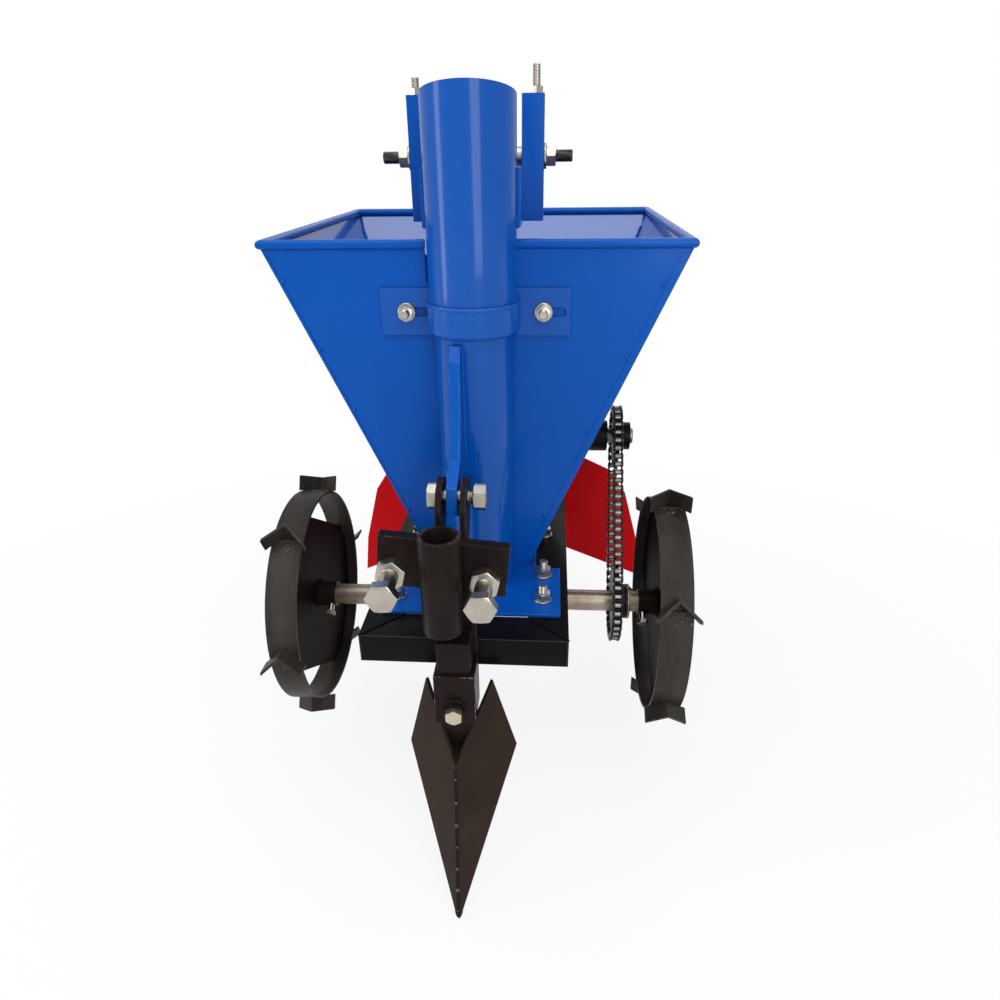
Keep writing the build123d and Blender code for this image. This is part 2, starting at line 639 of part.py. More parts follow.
def elevator():
    """Cup belt on two pulleys, with its shafts and the housings of the lower one."""
    wall = funnel(HOPPER_FOOT_HALF, FRONT_Y, BIG, HOPPER_TOP_HALF, FRONT_Y, BIG)
    bore = cyl_x(LOWER_SHAFT_R + RUN, -BIG, BIG, LOWER_Y, LOWER_Z)
    housings = []
    for end in (HOUSING_LEFT, HOUSING_RIGHT):
        housings.append(cyl_x(HOUSING_R, 0, end, LOWER_Y, LOWER_Z) - wall - bore)
    put("elevator_bearings", *housings)
    shaft_right = CHAIN_X + TOOTH_HALF + SPROCKET_HUB + SHAFT_END
    put("elevator_shaft", cyl_x(LOWER_SHAFT_R, LOWER_SHAFT_LEFT, shaft_right, LOWER_Y, LOWER_Z))
    put("lower_pulley", pulley(LOWER_Y, LOWER_Z, LOWER_SHAFT_R))
    put("upper_pulley", pulley(UPPER_Y, UPPER_Z, UPPER_SHAFT_R + RUN))
    put("elevator_belt", racetrack(BELT_OUT, BELT_HALF) - racetrack(BELT_IN, BELT_HALF + 1))
    cups()


def pulley(y, z, bore):
    """Return a flat belt pulley."""
    return cyl_x(PULLEY_R, -PULLEY_HALF, PULLEY_HALF, y, z) - cyl_x(bore, -BIG, BIG, y, z)


RISE_LEN = math.hypot(LOWER_Y - UPPER_Y, UPPER_Z - LOWER_Z)
RISE = math.atan2(UPPER_Z - LOWER_Z, UPPER_Y - LOWER_Y)


def racetrack(r, half):
    """Return a solid racetrack round both pulleys."""
    ends = cyl_x(r, -half, half, LOWER_Y, LOWER_Z) + cyl_x(r, -half, half, UPPER_Y, UPPER_Z)
    middle = Pos(0, (LOWER_Y + UPPER_Y) / 2, (LOWER_Z + UPPER_Z) / 2)
    return ends + middle * Rot(math.degrees(RISE), 0, 0) * Box(2 * half, RISE_LEN, 2 * r)


def cups():
    """Eight-sided seed cups along the belt, mouths towards the way it runs."""
    splay = math.degrees(math.atan2(CUP_R - CUP_FOOT_R, CUP_H))
    body = extrude(RegularPolygon(CUP_FOOT_R, 8, major_radius=False), CUP_H, taper=-splay)
    hollow = extrude(RegularPolygon(CUP_FOOT_R - CUP_WALL, 8, major_radius=False), CUP_H, taper=-splay)
    cup = body - Pos(0, 0, CUP_WALL) * hollow
    cup += box(-CUP_FOOT_R / 2, CUP_FOOT_R / 2, -CUP_R, -CUP_R - CUP_TAB, 0, CUP_H)
    cup += box(-CUP_FOOT_R / 2, CUP_FOOT_R / 2, -CUP_R - CUP_TAB, -CUP_FOOT_R, CUP_H - CUP_WALL, CUP_H)
    cup -= Pos(0, 0, CUP_WALL) * hollow
    reach = BELT_OUT + CUP_R + CUP_TAB
    loop = 2 * RISE_LEN + 2 * math.pi * BELT_OUT
    half_turn = math.pi * BELT_OUT
    made = []
    for k in range(CUP_COUNT):
        s = (k + 0.5) * loop / CUP_COUNT
        if s < RISE_LEN:
            out = RISE - math.pi / 2
            foot = along((LOWER_Y, LOWER_Z), (UPPER_Y, UPPER_Z), s / RISE_LEN)
        elif s < RISE_LEN + half_turn:
            out = RISE - math.pi / 2 + (s - RISE_LEN) / BELT_OUT
            foot = (UPPER_Y, UPPER_Z)
        elif s < 2 * RISE_LEN + half_turn:
            out = RISE + math.pi / 2
            foot = along((UPPER_Y, UPPER_Z), (LOWER_Y, LOWER_Z), (s - RISE_LEN - half_turn) / RISE_LEN)
        else:
            out = RISE + math.pi / 2 + (s - 2 * RISE_LEN - half_turn) / BELT_OUT
            foot = (LOWER_Y, LOWER_Z)
        y, z = around(*foot, reach, out)
        made.append(Pos(0, y, z) * Rot(math.degrees(out), 0, 0) * Pos(0, 0, -CUP_H / 2) * cup)
    put("elevator_cups", *made)


def take_up():
    """Upper shaft hung in slotted brackets on two threaded rods."""
    put("upper_shaft", cyl_x(UPPER_SHAFT_R, -UPPER_SHAFT_HALF, UPPER_SHAFT_HALF, UPPER_Y, UPPER_Z))
    bore = cyl_x(UPPER_SHAFT_R, -BIG, BIG, UPPER_Y, UPPER_Z)
    web_in = BRACKET_HALF - BRACKET_T
    eye_in = ROD_X - ROD_R - EYE_CHEEK
    cap_z = BRACKET_Z1 - BRACKET_T
    spacers, nuts, rods, rod_nuts = [], [], [], []
    for name, sx in (("left", -1), ("right", 1)):
        spacers.append(cyl_x(SPACER_R, sx * (PULLEY_HALF + SLIDE), sx * eye_in, UPPER_Y, UPPER_Z) - bore)
        nut = Pos(0, UPPER_Y, UPPER_Z) * Rot(0, sx * 90, 0) * washered_nut(UPPER_SHAFT_R, BRACKET_HALF)
        nuts.append(nut - bore)
        rod = cyl_x(EYE_R, sx * eye_in, sx * web_in, UPPER_Y, UPPER_Z)
        rod_top = ROD_TOP - ROD_LEFT_SHORT if sx < 0 else ROD_TOP
        rod += cyl_z(ROD_R, UPPER_Z, rod_top, sx * ROD_X, UPPER_Y)
        rods.append(rod - bore)
        hole = cyl_z(ROD_R + RUN, cap_z - 1, ROD_TOP, sx * ROD_X, UPPER_Y)
        nut_top = BRACKET_Z1 + ROD_R * NUT_H
        rod_nuts.append(hex_z(ROD_R * FLATS, BRACKET_Z1, nut_top, sx * ROD_X, UPPER_Y) - hole)
        flange_in = BRACKET_HALF - FLANGE_W
        front_y = BRACKET_Y0 + BRACKET_T
        plate = box(sx * flange_in, sx * BRACKET_HALF, BRACKET_Y0, front_y, BRACKET_Z0, BRACKET_Z1)
        plate += box(sx * TUBE_R, sx * BRACKET_HALF, BRACKET_Y0, front_y, BRACKET_Z0, GUSSET_Z)
        plate += box(sx * TUBE_R, sx * (TUBE_R + BRACKET_T), -BRACKET_T, front_y, BRACKET_Z0, GUSSET_Z)
        web = box(sx * web_in, sx * BRACKET_HALF, BRACKET_Y0, BRACKET_Y1, BRACKET_Z0, BRACKET_Z1)
        room = UPPER_SHAFT_R + SLIDE
        web -= box(sx * (web_in - 1), sx * (BRACKET_HALF + 1), UPPER_Y - room, UPPER_Y + room,
                   UPPER_Z - SLOT_DOWN, UPPER_Z + SLOT_UP)
        cap = box(sx * flange_in, sx * BRACKET_HALF, BRACKET_Y0, BRACKET_Y1, cap_z, BRACKET_Z1)
        put(f"takeup_bracket_{name}", plate + web + cap - hole)
    put("upper_spacers", *spacers)
    put("upper_shaft_nuts", *nuts)
    put("takeup_rods", *rods)
    put("takeup_nuts", *rod_nuts)


def hitch():
    """Tongue on the tube, and the hitch of ears, cross plate, sleeve and stem that it pivots in."""
    half = TONGUE_T / 2
    root = -LOWER_R / 2
    nose = [(root, TUBE_JOINT - TONGUE_CREST[0][1])]
    nose += [(-LOWER_R - ahead, TUBE_JOINT - drop) for ahead, drop in TONGUE_CREST]
    nose.append((-LOWER_R - TONGUE_BACK, PIVOT_Z + TONGUE_BACK_RISE))
    nose += [(PIVOT_Y + y, PIVOT_Z + z) for y, z in TONGUE_EYE]
    nose.append((root, PIVOT_Z - TONGUE_TAIL))
    tongue = prism_x(nose, TONGUE_X - half, TONGUE_X + half) - cyl_z(LOWER_R, 0, BIG)
    put("tongue_plate", tongue - cyl_x(PIVOT_R + RUN, -BIG, BIG, PIVOT_Y, PIVOT_Z))
    ears = []
    low = (CROSS_Z0 + CROSS_Z1) / 2
    outline = [(CROSS_BACK, low), (CROSS_BACK, PIVOT_Z - EAR_STEP)]
    outline += [(PIVOT_Y + y, PIVOT_Z + z) for y, z in EAR_EYE]
    outline.append((CROSS_BACK + EAR_FOOT, low))
    near = half + EAR_GAP
    far = near + EAR_T
    for sx in (-1, 1):
        ear = prism_x(outline, TONGUE_X + sx * near, TONGUE_X + sx * far)
        ears.append(ear - cyl_x(PIVOT_R, -BIG, BIG, PIVOT_Y, PIVOT_Z))
    put("hitch_ears", *ears)
    head, nut = TONGUE_X - far, TONGUE_X + far + PIVOT_STANDOFF
    pivot = cyl_x(PIVOT_R, head, nut, PIVOT_Y, PIVOT_Z)
    pivot += hex_x(PIVOT_R * FLATS, head - PIVOT_R * HEAD_H, head, PIVOT_Y, PIVOT_Z)
    put("pivot_bolt", pivot + hex_x(PIVOT_R * FLATS, nut, nut + PIVOT_R * NUT_H, PIVOT_Y, PIVOT_Z))
    middle = Pos(HITCH_X, 0, (CROSS_Z0 + CROSS_Z1) / 2)
    roll = middle * Rot(0, CROSS_ROLL, 0)
    half_h = (CROSS_Z1 - CROSS_Z0) / 2
    cross = roll * box(-CROSS_LEFT, CROSS_RIGHT, CROSS_FRONT, CROSS_BACK, -half_h, half_h)
    leg = STEM_LEG_HALF
    cross += box(STEM_X - leg, STEM_X + leg, CROSS_FRONT, CROSS_BACK, STEM_LEG_Z0, (CROSS_Z0 + CROSS_Z1) / 2)
    nuts = []
    for name, x in (("left", ADJUST_LEFT), ("right", ADJUST_RIGHT)):
        hole = roll * cyl_y(ADJUST_R + RUN, CROSS_FRONT - BIG, CROSS_BACK + BIG, x, ADJUST_DROP)
        cross -= hole
        nut = roll * hex_y(ADJUST_R * FLATS, CROSS_FRONT - ADJUST_R * NUT_H, CROSS_FRONT, x, ADJUST_DROP)
        nuts.append(nut - hole)
        front = CROSS_FRONT - ADJUST_FRONT
        shank = cyl_y(ADJUST_R, front, CROSS_BACK + ADJUST_BACK, x, ADJUST_DROP)
        head = hex_y(ADJUST_R * FLATS, front - ADJUST_R * HEAD_H, front, x, ADJUST_DROP)
        put(f"adjust_bolt_{name}", roll * (shank + head))
    put("hitch_cross_plate", cross)
    put("adjust_nuts", *nuts)
    sleeve = cyl_z(SLEEVE_R, SLEEVE_Z0, SLEEVE_Z1, HITCH_X, SLEEVE_Y)
    put("hitch_sleeve", sleeve - cyl_z(SLEEVE_BORE_R, SLEEVE_Z0 - 1, SLEEVE_Z1 + 1, HITCH_X, SLEEVE_Y))
    stem = square_tube(STEM_X, STEM_Y, STEM / 2, STEM_WALL, STEM_Z0, STEM_Z1)
    side = STEM / 2
    cap = box(STEM_X - side, STEM_X + side, STEM_Y - side, STEM_Y + side, STEM_Z1 - STEM_WALL, STEM_Z1)
    put("opener_stem", stem + cap)


def opener():
    """Furrow opener of two swept blades on a socket that slides on the stem."""
    room = STEM / 2 + SLIDE
    half = room + SOCKET_WALL
    front = STEM_Y - half
    hole = cyl_y(BOLT_R, front - 1, STEM_Y, STEM_X, SET_Z)
    put("opener_socket", square_tube(STEM_X, STEM_Y, half, SOCKET_WALL, SOCKET_Z0, SOCKET_Z1) - hole)
    nut_y = front - BOLT_R * NUT_H
    head_y = nut_y - BOLT_R * HEAD_H
    stud = cyl_y(BOLT_R, head_y, STEM_Y - room, STEM_X, SET_Z)
    stud += hex_y(BOLT_R * FLATS, nut_y, front, STEM_X, SET_Z)
    put("opener_set_bolt", stud + hex_y(BOLT_R * FLATS, head_y, nut_y, STEM_X, SET_Z))
    notch = Vector(STEM_X, front - RIDGE_AHEAD, RIDGE_Z1)
    point = Vector(STEM_X, front - RIDGE_AHEAD - RIDGE_RAKE, RIDGE_Z0)
    ridge = point - notch
    clear = box(STEM_X - half, STEM_X + half, front, STEM_Y + half, SOCKET_Z0, SOCKET_Z1 + BIG)
    clear += box(STEM_X - room, STEM_X + room, STEM_Y - room, STEM_Y + room, STEM_Z0 - BIG, BIG)
    for name, sx in (("left", -1), ("right", 1)):
        wing = Vector(sx * BLADE_HALF + BLADE_SHIFT, BLADE_SWEEP, -BLADE_DROP)
        tip = notch - ridge * BLADE_TIP_UP + wing * BLADE_TIP_OUT
        face = make_face(Polyline(*[tuple(v) for v in (notch, point, notch + wing, tip)], close=True))
        normal = ridge.cross(wing).normalized() * sx
        if normal.Y < 0:
            normal = normal * -1
        blade = extrude(face, amount=BLADE_T, dir=tuple(normal))
        side = box(STEM_X, STEM_X + sx * BIG, -BIG, BIG, -BIG, BIG)
        put(f"opener_blade_{name}", (blade & side) - clear)


def coverers():
    """Covering plates on square posts in sockets on the frame's rear angle."""
    half = COVER_POST / 2
    outer = half + SLIDE + COVER_SOCKET_WALL
    y = FRAME_BACK + outer
    slope = math.tan(math.radians(COVER_YAW))
    sockets = []
    for name, sx in (("left", -1), ("right", 1)):
        x = sx * COVER_POST_X
        sockets.append(square_tube(x, y, outer, COVER_SOCKET_WALL, COVER_SOCKET_Z0, COVER_SOCKET_Z1))
        inner = COVER_OUTLINE[0][0]
        corners = [(sx * px, COVER_Y + (px - inner) * slope, pz) for px, pz in COVER_OUTLINE]
        face = make_face(Polyline(*corners, close=True))
        put(f"coverer_plate_{name}", extrude(face, amount=COVER_T, dir=(0, 1, 0)))
        post = box(x - half, x + half, y - half, y + half, COVER_ARM_Z - half, COVER_POST_TOP)
        arm = box(x - half, x + half, y, COVER_Y + BIG, COVER_ARM_Z - half, COVER_ARM_Z + half)
        put(f"coverer_post_{name}", post + (arm - extrude(face, amount=2 * BIG, dir=(0, 1, 0))))
    put("coverer_sockets", *sockets)


seed_tube()
hopper()
collar()
frame()
axle_bearings()
wheels()
chain_drive()
elevator()
take_up()
hitch()
opener()
coverers()

SHIFT = Pos(*[-c for c in ORIGIN])
for node, solids in NODES.items():
    moved = [SHIFT * s for s in solids]
    export_step(moved[0] if len(moved) == 1 else Compound(children=moved), f"parts/{node}.step")
print(len(NODES), "nodes")
print("lower shaft", round(LOWER_Y, 3), round(LOWER_Z, 3), "origin", ORIGIN)
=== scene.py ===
"""Dressed potato planter: finishes, fasteners, chain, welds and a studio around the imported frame."""

import json
import logging
import math
from dataclasses import dataclass, replace
from enum import Enum
from typing import Callable, Iterable, Optional, Sequence

import bmesh
import bpy
from mathutils import Euler, Matrix, Vector

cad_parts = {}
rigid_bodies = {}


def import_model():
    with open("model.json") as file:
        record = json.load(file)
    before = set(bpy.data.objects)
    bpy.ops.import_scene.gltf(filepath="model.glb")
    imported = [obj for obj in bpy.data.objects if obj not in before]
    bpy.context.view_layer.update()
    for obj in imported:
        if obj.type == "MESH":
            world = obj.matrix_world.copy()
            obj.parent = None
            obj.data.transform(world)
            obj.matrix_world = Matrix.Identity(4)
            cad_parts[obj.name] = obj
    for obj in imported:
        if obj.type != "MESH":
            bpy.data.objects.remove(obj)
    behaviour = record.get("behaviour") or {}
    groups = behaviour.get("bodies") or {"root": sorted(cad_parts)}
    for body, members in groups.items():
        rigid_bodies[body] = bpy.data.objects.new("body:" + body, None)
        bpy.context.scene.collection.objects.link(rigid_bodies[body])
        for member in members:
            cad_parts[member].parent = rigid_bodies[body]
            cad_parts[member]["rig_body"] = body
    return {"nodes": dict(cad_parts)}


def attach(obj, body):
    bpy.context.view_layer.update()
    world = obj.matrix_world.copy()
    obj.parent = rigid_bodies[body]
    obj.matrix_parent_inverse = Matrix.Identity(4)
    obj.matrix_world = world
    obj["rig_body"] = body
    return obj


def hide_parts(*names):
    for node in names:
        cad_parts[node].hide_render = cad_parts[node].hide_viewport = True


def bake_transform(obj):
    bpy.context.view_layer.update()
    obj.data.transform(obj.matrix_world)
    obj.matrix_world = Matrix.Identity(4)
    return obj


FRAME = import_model()
LOG = logging.getLogger("planter")
MM = 0.001
MACHINE_ORIGIN = Vector((-32.0, -247.0, 132.0))
HOME = Matrix.Translation(MACHINE_ORIGIN)
UPRIGHT = Euler((0, 0, 0))

# Shafts, as Y and Z in machine millimetres
AXLE = (74.0, -98.0)
LOWER_SHAFT = (266.411, 168.784)
UPPER_SHAFT = (120.0, 668.0)
UPPER_SHAFT_RADIUS = 9.0

# Sizes of a hexagon bolt for each millimetre of its shank's radius
FLATS = 3.05
HEAD = 1.3
NUT = 1.6
WASHER = 0.4
WASHER_RADIUS = 2.0

# Angles between two faces: at a hard edge, at the rim of a broken edge, on a curve, on a flat
HARD = math.radians(28)
RIM = math.radians(14)
CURVED = math.radians(0.5)
FLAT = math.radians(0.4)

# Points nearer than this, in metres, are one point
MERGE = 2e-6

# The mesh attribute that marks broken edges
EDGE = "edge"

# What all finishes share
DUST_COLOR = (0.16, 0.13, 0.1)
COAT_ROUGHNESS = 0.06
PATCH_ROUGHNESS = 0.08
SOILED_ROUGHNESS = 0.3
BUMP_STRENGTH = 0.6
BUMP_DISTANCE = 0.0006

Point = tuple[float, float, float]
Color = tuple[float, float, float]
Pair = tuple[float, float]
Mark = tuple[Vector, Euler, float]
Socket = bpy.types.NodeSocket


class Axis(Enum):
    """Direction that a turned or repeated piece is laid along."""

    X = "x"
    Y = "y"
    Z = "z"
    BACK_X = "-x"
    FRONT = "-y"

    def matrix(self, at: Sequence[float] = (0, 0, 0)) -> Matrix:
        """Give the matrix that lays a piece made along Z along this axis.

        Args:
            at: where the piece's own origin goes, in machine millimetres.

        Returns:
            The placing matrix, in machine millimetres.
        """
        turns = {
            Axis.X: Matrix.Rotation(math.pi / 2, 4, "Y"),
            Axis.Y: Matrix.Rotation(-math.pi / 2, 4, "X"),
            Axis.Z: Matrix.Identity(4),
            Axis.BACK_X: Matrix.Rotation(-math.pi / 2, 4, "Y"),
            Axis.FRONT: Matrix.Rotation(math.pi / 2, 4, "X"),
        }
        return Matrix.Translation(Vector(at)) @ turns[self]


def place(point: Sequence[float]) -> Vector:
    """Turn machine millimetres, from the seed tube's axis and the frame's top, into the row's metres."""
    return (Vector(point) - MACHINE_ORIGIN) * MM


def stand(name: str, data: bpy.types.ID) -> bpy.types.Object:
    """Make an object of some data and put it in the scene.

    Args:
        name: the object's name.
        data: its mesh, curve, camera or light.

    Returns:
        The object.
    """
    thing = bpy.data.objects.new(name, data)
    bpy.context.scene.collection.objects.link(thing)
    return thing


def body_of(node: str) -> str:
    """Give the body that a node of the frame rides on."""
    return FRAME["nodes"][node]["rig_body"]


class NodeTree:
    """Small helper that adds and links nodes in a tree."""

    def __init__(self, tree: bpy.types.NodeTree) -> None:
        """Keep the tree."""
        self.tree = tree

    def add(self, kind: str, feed: Optional[dict] = None, **values: object) -> bpy.types.Node:
        """Add a node, set its properties and feed its inputs.

        Args:
            kind: the node's type name.
            feed: a socket or a plain value for each input, by the input's name or number.
            values: the node's properties.

        Returns:
            The new node.
        """
        node = self.tree.nodes.new(kind)
        for key, value in values.items():
            setattr(node, key, value)
        for key, value in (feed or {}).items():
            if isinstance(value, Socket):
                self.link(value, node.inputs[key])
            else:
                node.inputs[key].default_value = value
        return node

    def link(self, source: Socket, target: Socket) -> None:
        """Link one socket to another."""
        self.tree.links.new(source, target)

    def math(self, operation: str, first: object, second: object) -> Socket:
        """Add a math node fed by sockets or numbers and give its result."""
        return self.add("ShaderNodeMath", {0: first, 1: second}, operation=operation).outputs[0]

    def ramp(self, source: Socket, low: float, high: float) -> Socket:
        """Map a value from the range low to high onto 0 to 1, clamped."""
        return self.add("ShaderNodeMapRange", {0: source, 1: low, 2: high, 3: 0.0, 4: 1.0}).outputs[0]

    def mix(self, factor: Socket, first: object, second: object) -> Socket:
        """Mix two colours, or their sockets, the first where the mask is 0 and the second where it is 1."""
        colors = [(*value, 1.0) if isinstance(value, tuple) else value for value in (first, second)]
        return self.add("ShaderNodeMix", {0: factor, 6: colors[0], 7: colors[1]}, data_type="RGBA").outputs[2]

    def noise(self, vector: Socket, scale: object, detail: float) -> Socket:
        """Add a noise texture, its scale a number or a socket, and give its value."""
        feed = {"Vector": vector, "Scale": scale, "Detail": detail}
        return self.add("ShaderNodeTexNoise", feed).outputs[0]


def emptied(owner: bpy.types.ID) -> NodeTree:
    """Clear the nodes of a material or a world.

    Args:
        owner: the material or the world.

    Returns:
        Its empty tree.
    """
    owner.use_nodes = True
    owner.node_tree.nodes.clear()
    return NodeTree(owner.node_tree)


def effect(kit: NodeTree, name: str, output: str, build: Callable[[NodeTree, dict], Socket],
           **values: object) -> Socket:
    """Place one shared shader group in a material with the material's own values.

    Args:
        kit: the material's tree.
        name: the group's name.
        output: the name of the group's output.
        build: fills the group the first time, given its tree and its input sockets.
        values: a socket or a number for each of the group's inputs.

    Returns:
        The group's output socket.
    """
    group = bpy.data.node_groups.get(name)
    if group is None:
        group = bpy.data.node_groups.new(name, "ShaderNodeTree")
        for key in values:
            kind = "NodeSocketVector" if key == "Vector" else "NodeSocketFloat"
            group.interface.new_socket(name=key, in_out="INPUT", socket_type=kind)
        group.interface.new_socket(name=output, in_out="OUTPUT", socket_type="NodeSocketFloat")
        inside = NodeTree(group)
        given = {socket.name: socket for socket in inside.add("NodeGroupInput").outputs}
        inside.add("NodeGroupOutput", {output: build(inside, given)})
    return kit.add("ShaderNodeGroup", values, node_tree=group).outputs[output]


def build_mottle(kit: NodeTree, given: dict) -> Socket:
    """Fill the group that breaks a colour up into soft patches, drawn out into streaks across X.

    Args:
        kit: the group's tree.
        given: the group's input sockets.

    Returns:
        The share of the second colour.
    """
    squeeze = kit.add("ShaderNodeCombineXYZ", {0: given["Streak"], 1: 1.0, 2: 1.0}).outputs[0]
    drawn = kit.add("ShaderNodeVectorMath", {0: given["Vector"], 1: squeeze}, operation="MULTIPLY").outputs[0]
    broad = kit.noise(drawn, scale=given["Scale"], detail=4.0)
    fine = kit.noise(drawn, scale=kit.math("MULTIPLY", given["Scale"], 9.0), detail=3.0)
    both = kit.math("ADD", kit.math("MULTIPLY", broad, 0.7), kit.math("MULTIPLY", fine, 0.3))
    return kit.ramp(both, 0.35, 0.65)


def build_wear(kit: NodeTree, given: dict) -> Socket:
    """Fill the group that chips a coating along edges and here and there on faces, and lays a painted
    highlight all along edges.

    Args:
        kit: the group's tree.
        given: the group's input sockets.

    Returns:
        The share of the chip colour, for the chips and the painted edge highlight.
    """
    grain = kit.noise(given["Vector"], scale=160.0, detail=5.0)
    broad = kit.noise(given["Vector"], scale=22.0, detail=3.0)
    chips = kit.math("MULTIPLY", kit.ramp(grain, 0.46, 0.56), kit.ramp(broad, 0.4, 0.6))
    # Painted highlight: the Highlight input lays the chip colour all along the marked edges, on top of the
    # real chips.
    edge_wear_and_highlight = kit.math("MULTIPLY", kit.math("MAXIMUM", chips, given["Thin"]), given["Edge"])
    nick = kit.math("MULTIPLY", kit.ramp(grain, 0.7, 0.74), kit.ramp(broad, 0.58, 0.7))
    return kit.math("MULTIPLY", kit.math("MAXIMUM", edge_wear_and_highlight, nick), given["Amount"])


def build_peel(kit: NodeTree, given: dict) -> Socket:
    """Fill the group that gives the height of sprayed paint's peel and a sheet's slow waves.

    Args:
        kit: the group's tree.
        given: the group's input sockets.

    Returns:
        The height of the bump.
    """
    peel = kit.noise(given["Vector"], scale=given["Scale"], detail=2.0)
    waves = kit.noise(given["Vector"], scale=9.0, detail=1.0)
    tall = kit.math("MULTIPLY", waves, given["Waves"])
    return kit.math("ADD", kit.math("MULTIPLY", peel, given["Peel"]), tall)


def build_dust(kit: NodeTree, given: dict) -> Socket:
    """Fill the group that lays dust in soft clouds, more towards the ground.

    Args:
        kit: the group's tree.
        given: the group's input sockets.

    Returns:
        The share of dust.
    """
    height = kit.add("ShaderNodeSeparateXYZ", {0: given["Vector"]}).outputs[2]
    low = kit.math("ADD", kit.ramp(height, 0.2, -0.5), 0.35)
    cloud = kit.ramp(kit.noise(given["Vector"], scale=14.0, detail=6.0), 0.45, 0.75)
    return kit.math("MULTIPLY", kit.math("MULTIPLY", cloud, low), given["Amount"])


@dataclass(frozen=True)
class Finish:
    """One surface finish, made into a procedural material.

    Attributes:
        name: the finish's name, also the record's slot unless slot is given.
        color: main colour, linear.
        shade: second colour of the soft patches.
        roughness: roughness of clean surface.
        metallic: 1 for bare metal.
        coat: weight of the clear coat.
        bare_and_highlight: colour of chips and of edges that have lost their paint, and of the painted
            highlight laid along every edge where edge_highlight is set.
        wear: how much of the edges has lost its paint, and how strong the painted edge highlight is.
        dust: how much dust lies on it.
        peel: height of the fine bump.
        peel_scale: scale of the fine bump.
        waves: height of the slow waves of sheet metal.
        patch_scale: scale of the soft patches.
        slot: the record's material slot.
        specular: level of the plain reflection.
        streak: how far the patches are squeezed across X.
        rubbed: extra clear coat on faces that look up, which the load rubs.
        edge_highlight: how much painted highlight, in the bare_and_highlight colour, is laid all along the
            edges.
        coat_ior: the clear coat's index of refraction.
    """

    name: str
    color: Color
    shade: Color
    roughness: float
    metallic: float = 0.0
    coat: float = 0.0
    bare_and_highlight: Color = (0.2, 0.19, 0.18)
    wear: float = 0.5
    dust: float = 0.1
    peel: float = 0.3
    peel_scale: float = 420.0
    waves: float = 0.0
    patch_scale: float = 6.0
    slot: str = ""
    specular: float = 0.5
    streak: float = 1.0
    rubbed: float = 0.0
    edge_highlight: float = 0.0
    coat_ior: float = 1.5

    def material(self) -> bpy.types.Material:
        """Build the material, or give it again if it is built.

        Returns:
            The material.
        """
        label = f"{self.name} finish"
        if label in bpy.data.materials:
            return bpy.data.materials[label]
        material = bpy.data.materials.new(label)
        kit = emptied(material)
        spot = kit.add("ShaderNodeTexCoord").outputs
        where = spot["Object"]
        edge = kit.add("ShaderNodeAttribute", attribute_name=EDGE).outputs["Fac"]
        patch = effect(kit, "mottle", "Patch", build_mottle, Vector=where,
                       Scale=self.patch_scale, Streak=self.streak)
        wear_and_highlight = effect(kit, "edge wear and highlight", "Bare And Highlight", build_wear, Vector=where,
                      Edge=edge, Amount=self.wear, Thin=self.edge_highlight)
        dust = effect(kit, "dust", "Dust", build_dust, Vector=where, Amount=self.dust)
        height = effect(kit, "peel", "Height", build_peel, Vector=where,
                        Scale=self.peel_scale, Peel=self.peel, Waves=self.waves)
        # Base colour with the chips and the painted edge highlight mixed in.
        chipped_and_highlighted = kit.mix(wear_and_highlight, kit.mix(patch, self.color, self.shade), self.bare_and_highlight)
        rough = kit.math("ADD", kit.math("MULTIPLY", patch, PATCH_ROUGHNESS), self.roughness)
        soiled = kit.math("MULTIPLY", kit.math("ADD", dust, wear_and_highlight), SOILED_ROUGHNESS)
        bump = {"Strength": BUMP_STRENGTH, "Distance": BUMP_DISTANCE, "Height": height}
        skin = kit.add("ShaderNodeBsdfPrincipled", {
            "Base Color": kit.mix(dust, chipped_and_highlighted, DUST_COLOR),
            "Metallic": self.metallic,
            "Roughness": kit.math("ADD", rough, soiled),
            "Normal": kit.add("ShaderNodeBump", bump).outputs[0],
            "Specular IOR Level": self.specular,
            "Coat Weight": self.coat,
            "Coat Roughness": COAT_ROUGHNESS,
            "Coat IOR": self.coat_ior,
        })
        if self.rubbed:
            upward = kit.add("ShaderNodeSeparateXYZ", {0: spot["Normal"]}).outputs[2]
            polish = kit.math("MULTIPLY", kit.ramp(upward, 0.05, 0.3), self.rubbed)
            kit.link(kit.math("ADD", polish, self.coat), skin.inputs["Coat Weight"])
        kit.add("ShaderNodeOutputMaterial", {0: skin.outputs[0]})
        return material


BLUE = Finish("blue_paint", (0.0012, 0.09, 0.44), (0.0012, 0.084, 0.415), 0.24, coat=0.06,
              bare_and_highlight=(0.1, 0.22, 0.5), wear=0.35, dust=0.01, peel=0.2, waves=5.0, specular=0.1)
TUBE_BLUE = replace(BLUE, name="blue_gloss", color=(0.0012, 0.086, 0.42), shade=(0.0012, 0.081, 0.4),
                    roughness=0.2, coat=0.3, peel=0.16, waves=7.0, slot="blue_paint", specular=0.12)
SHEET = replace(BLUE, name="blue_sheet", roughness=0.28, coat=0.03, dust=0.02, slot="blue_paint",
                rubbed=0.62, coat_ior=2.15)
RED = Finish("red_paint", (0.6, 0.0025, 0.006), (0.55, 0.002, 0.005), 0.24, coat=0.03,
             bare_and_highlight=(0.5, 0.12, 0.1), wear=0.3, dust=0.01, peel=0.25, waves=9.0, specular=0.03)
BLACK = Finish("black_paint", (0.0045, 0.0036, 0.0034), (0.006, 0.005, 0.0047), 0.3, coat=0.03,
               bare_and_highlight=(0.07, 0.062, 0.056), wear=0.35, dust=0.015, peel=0.35, specular=0.06)
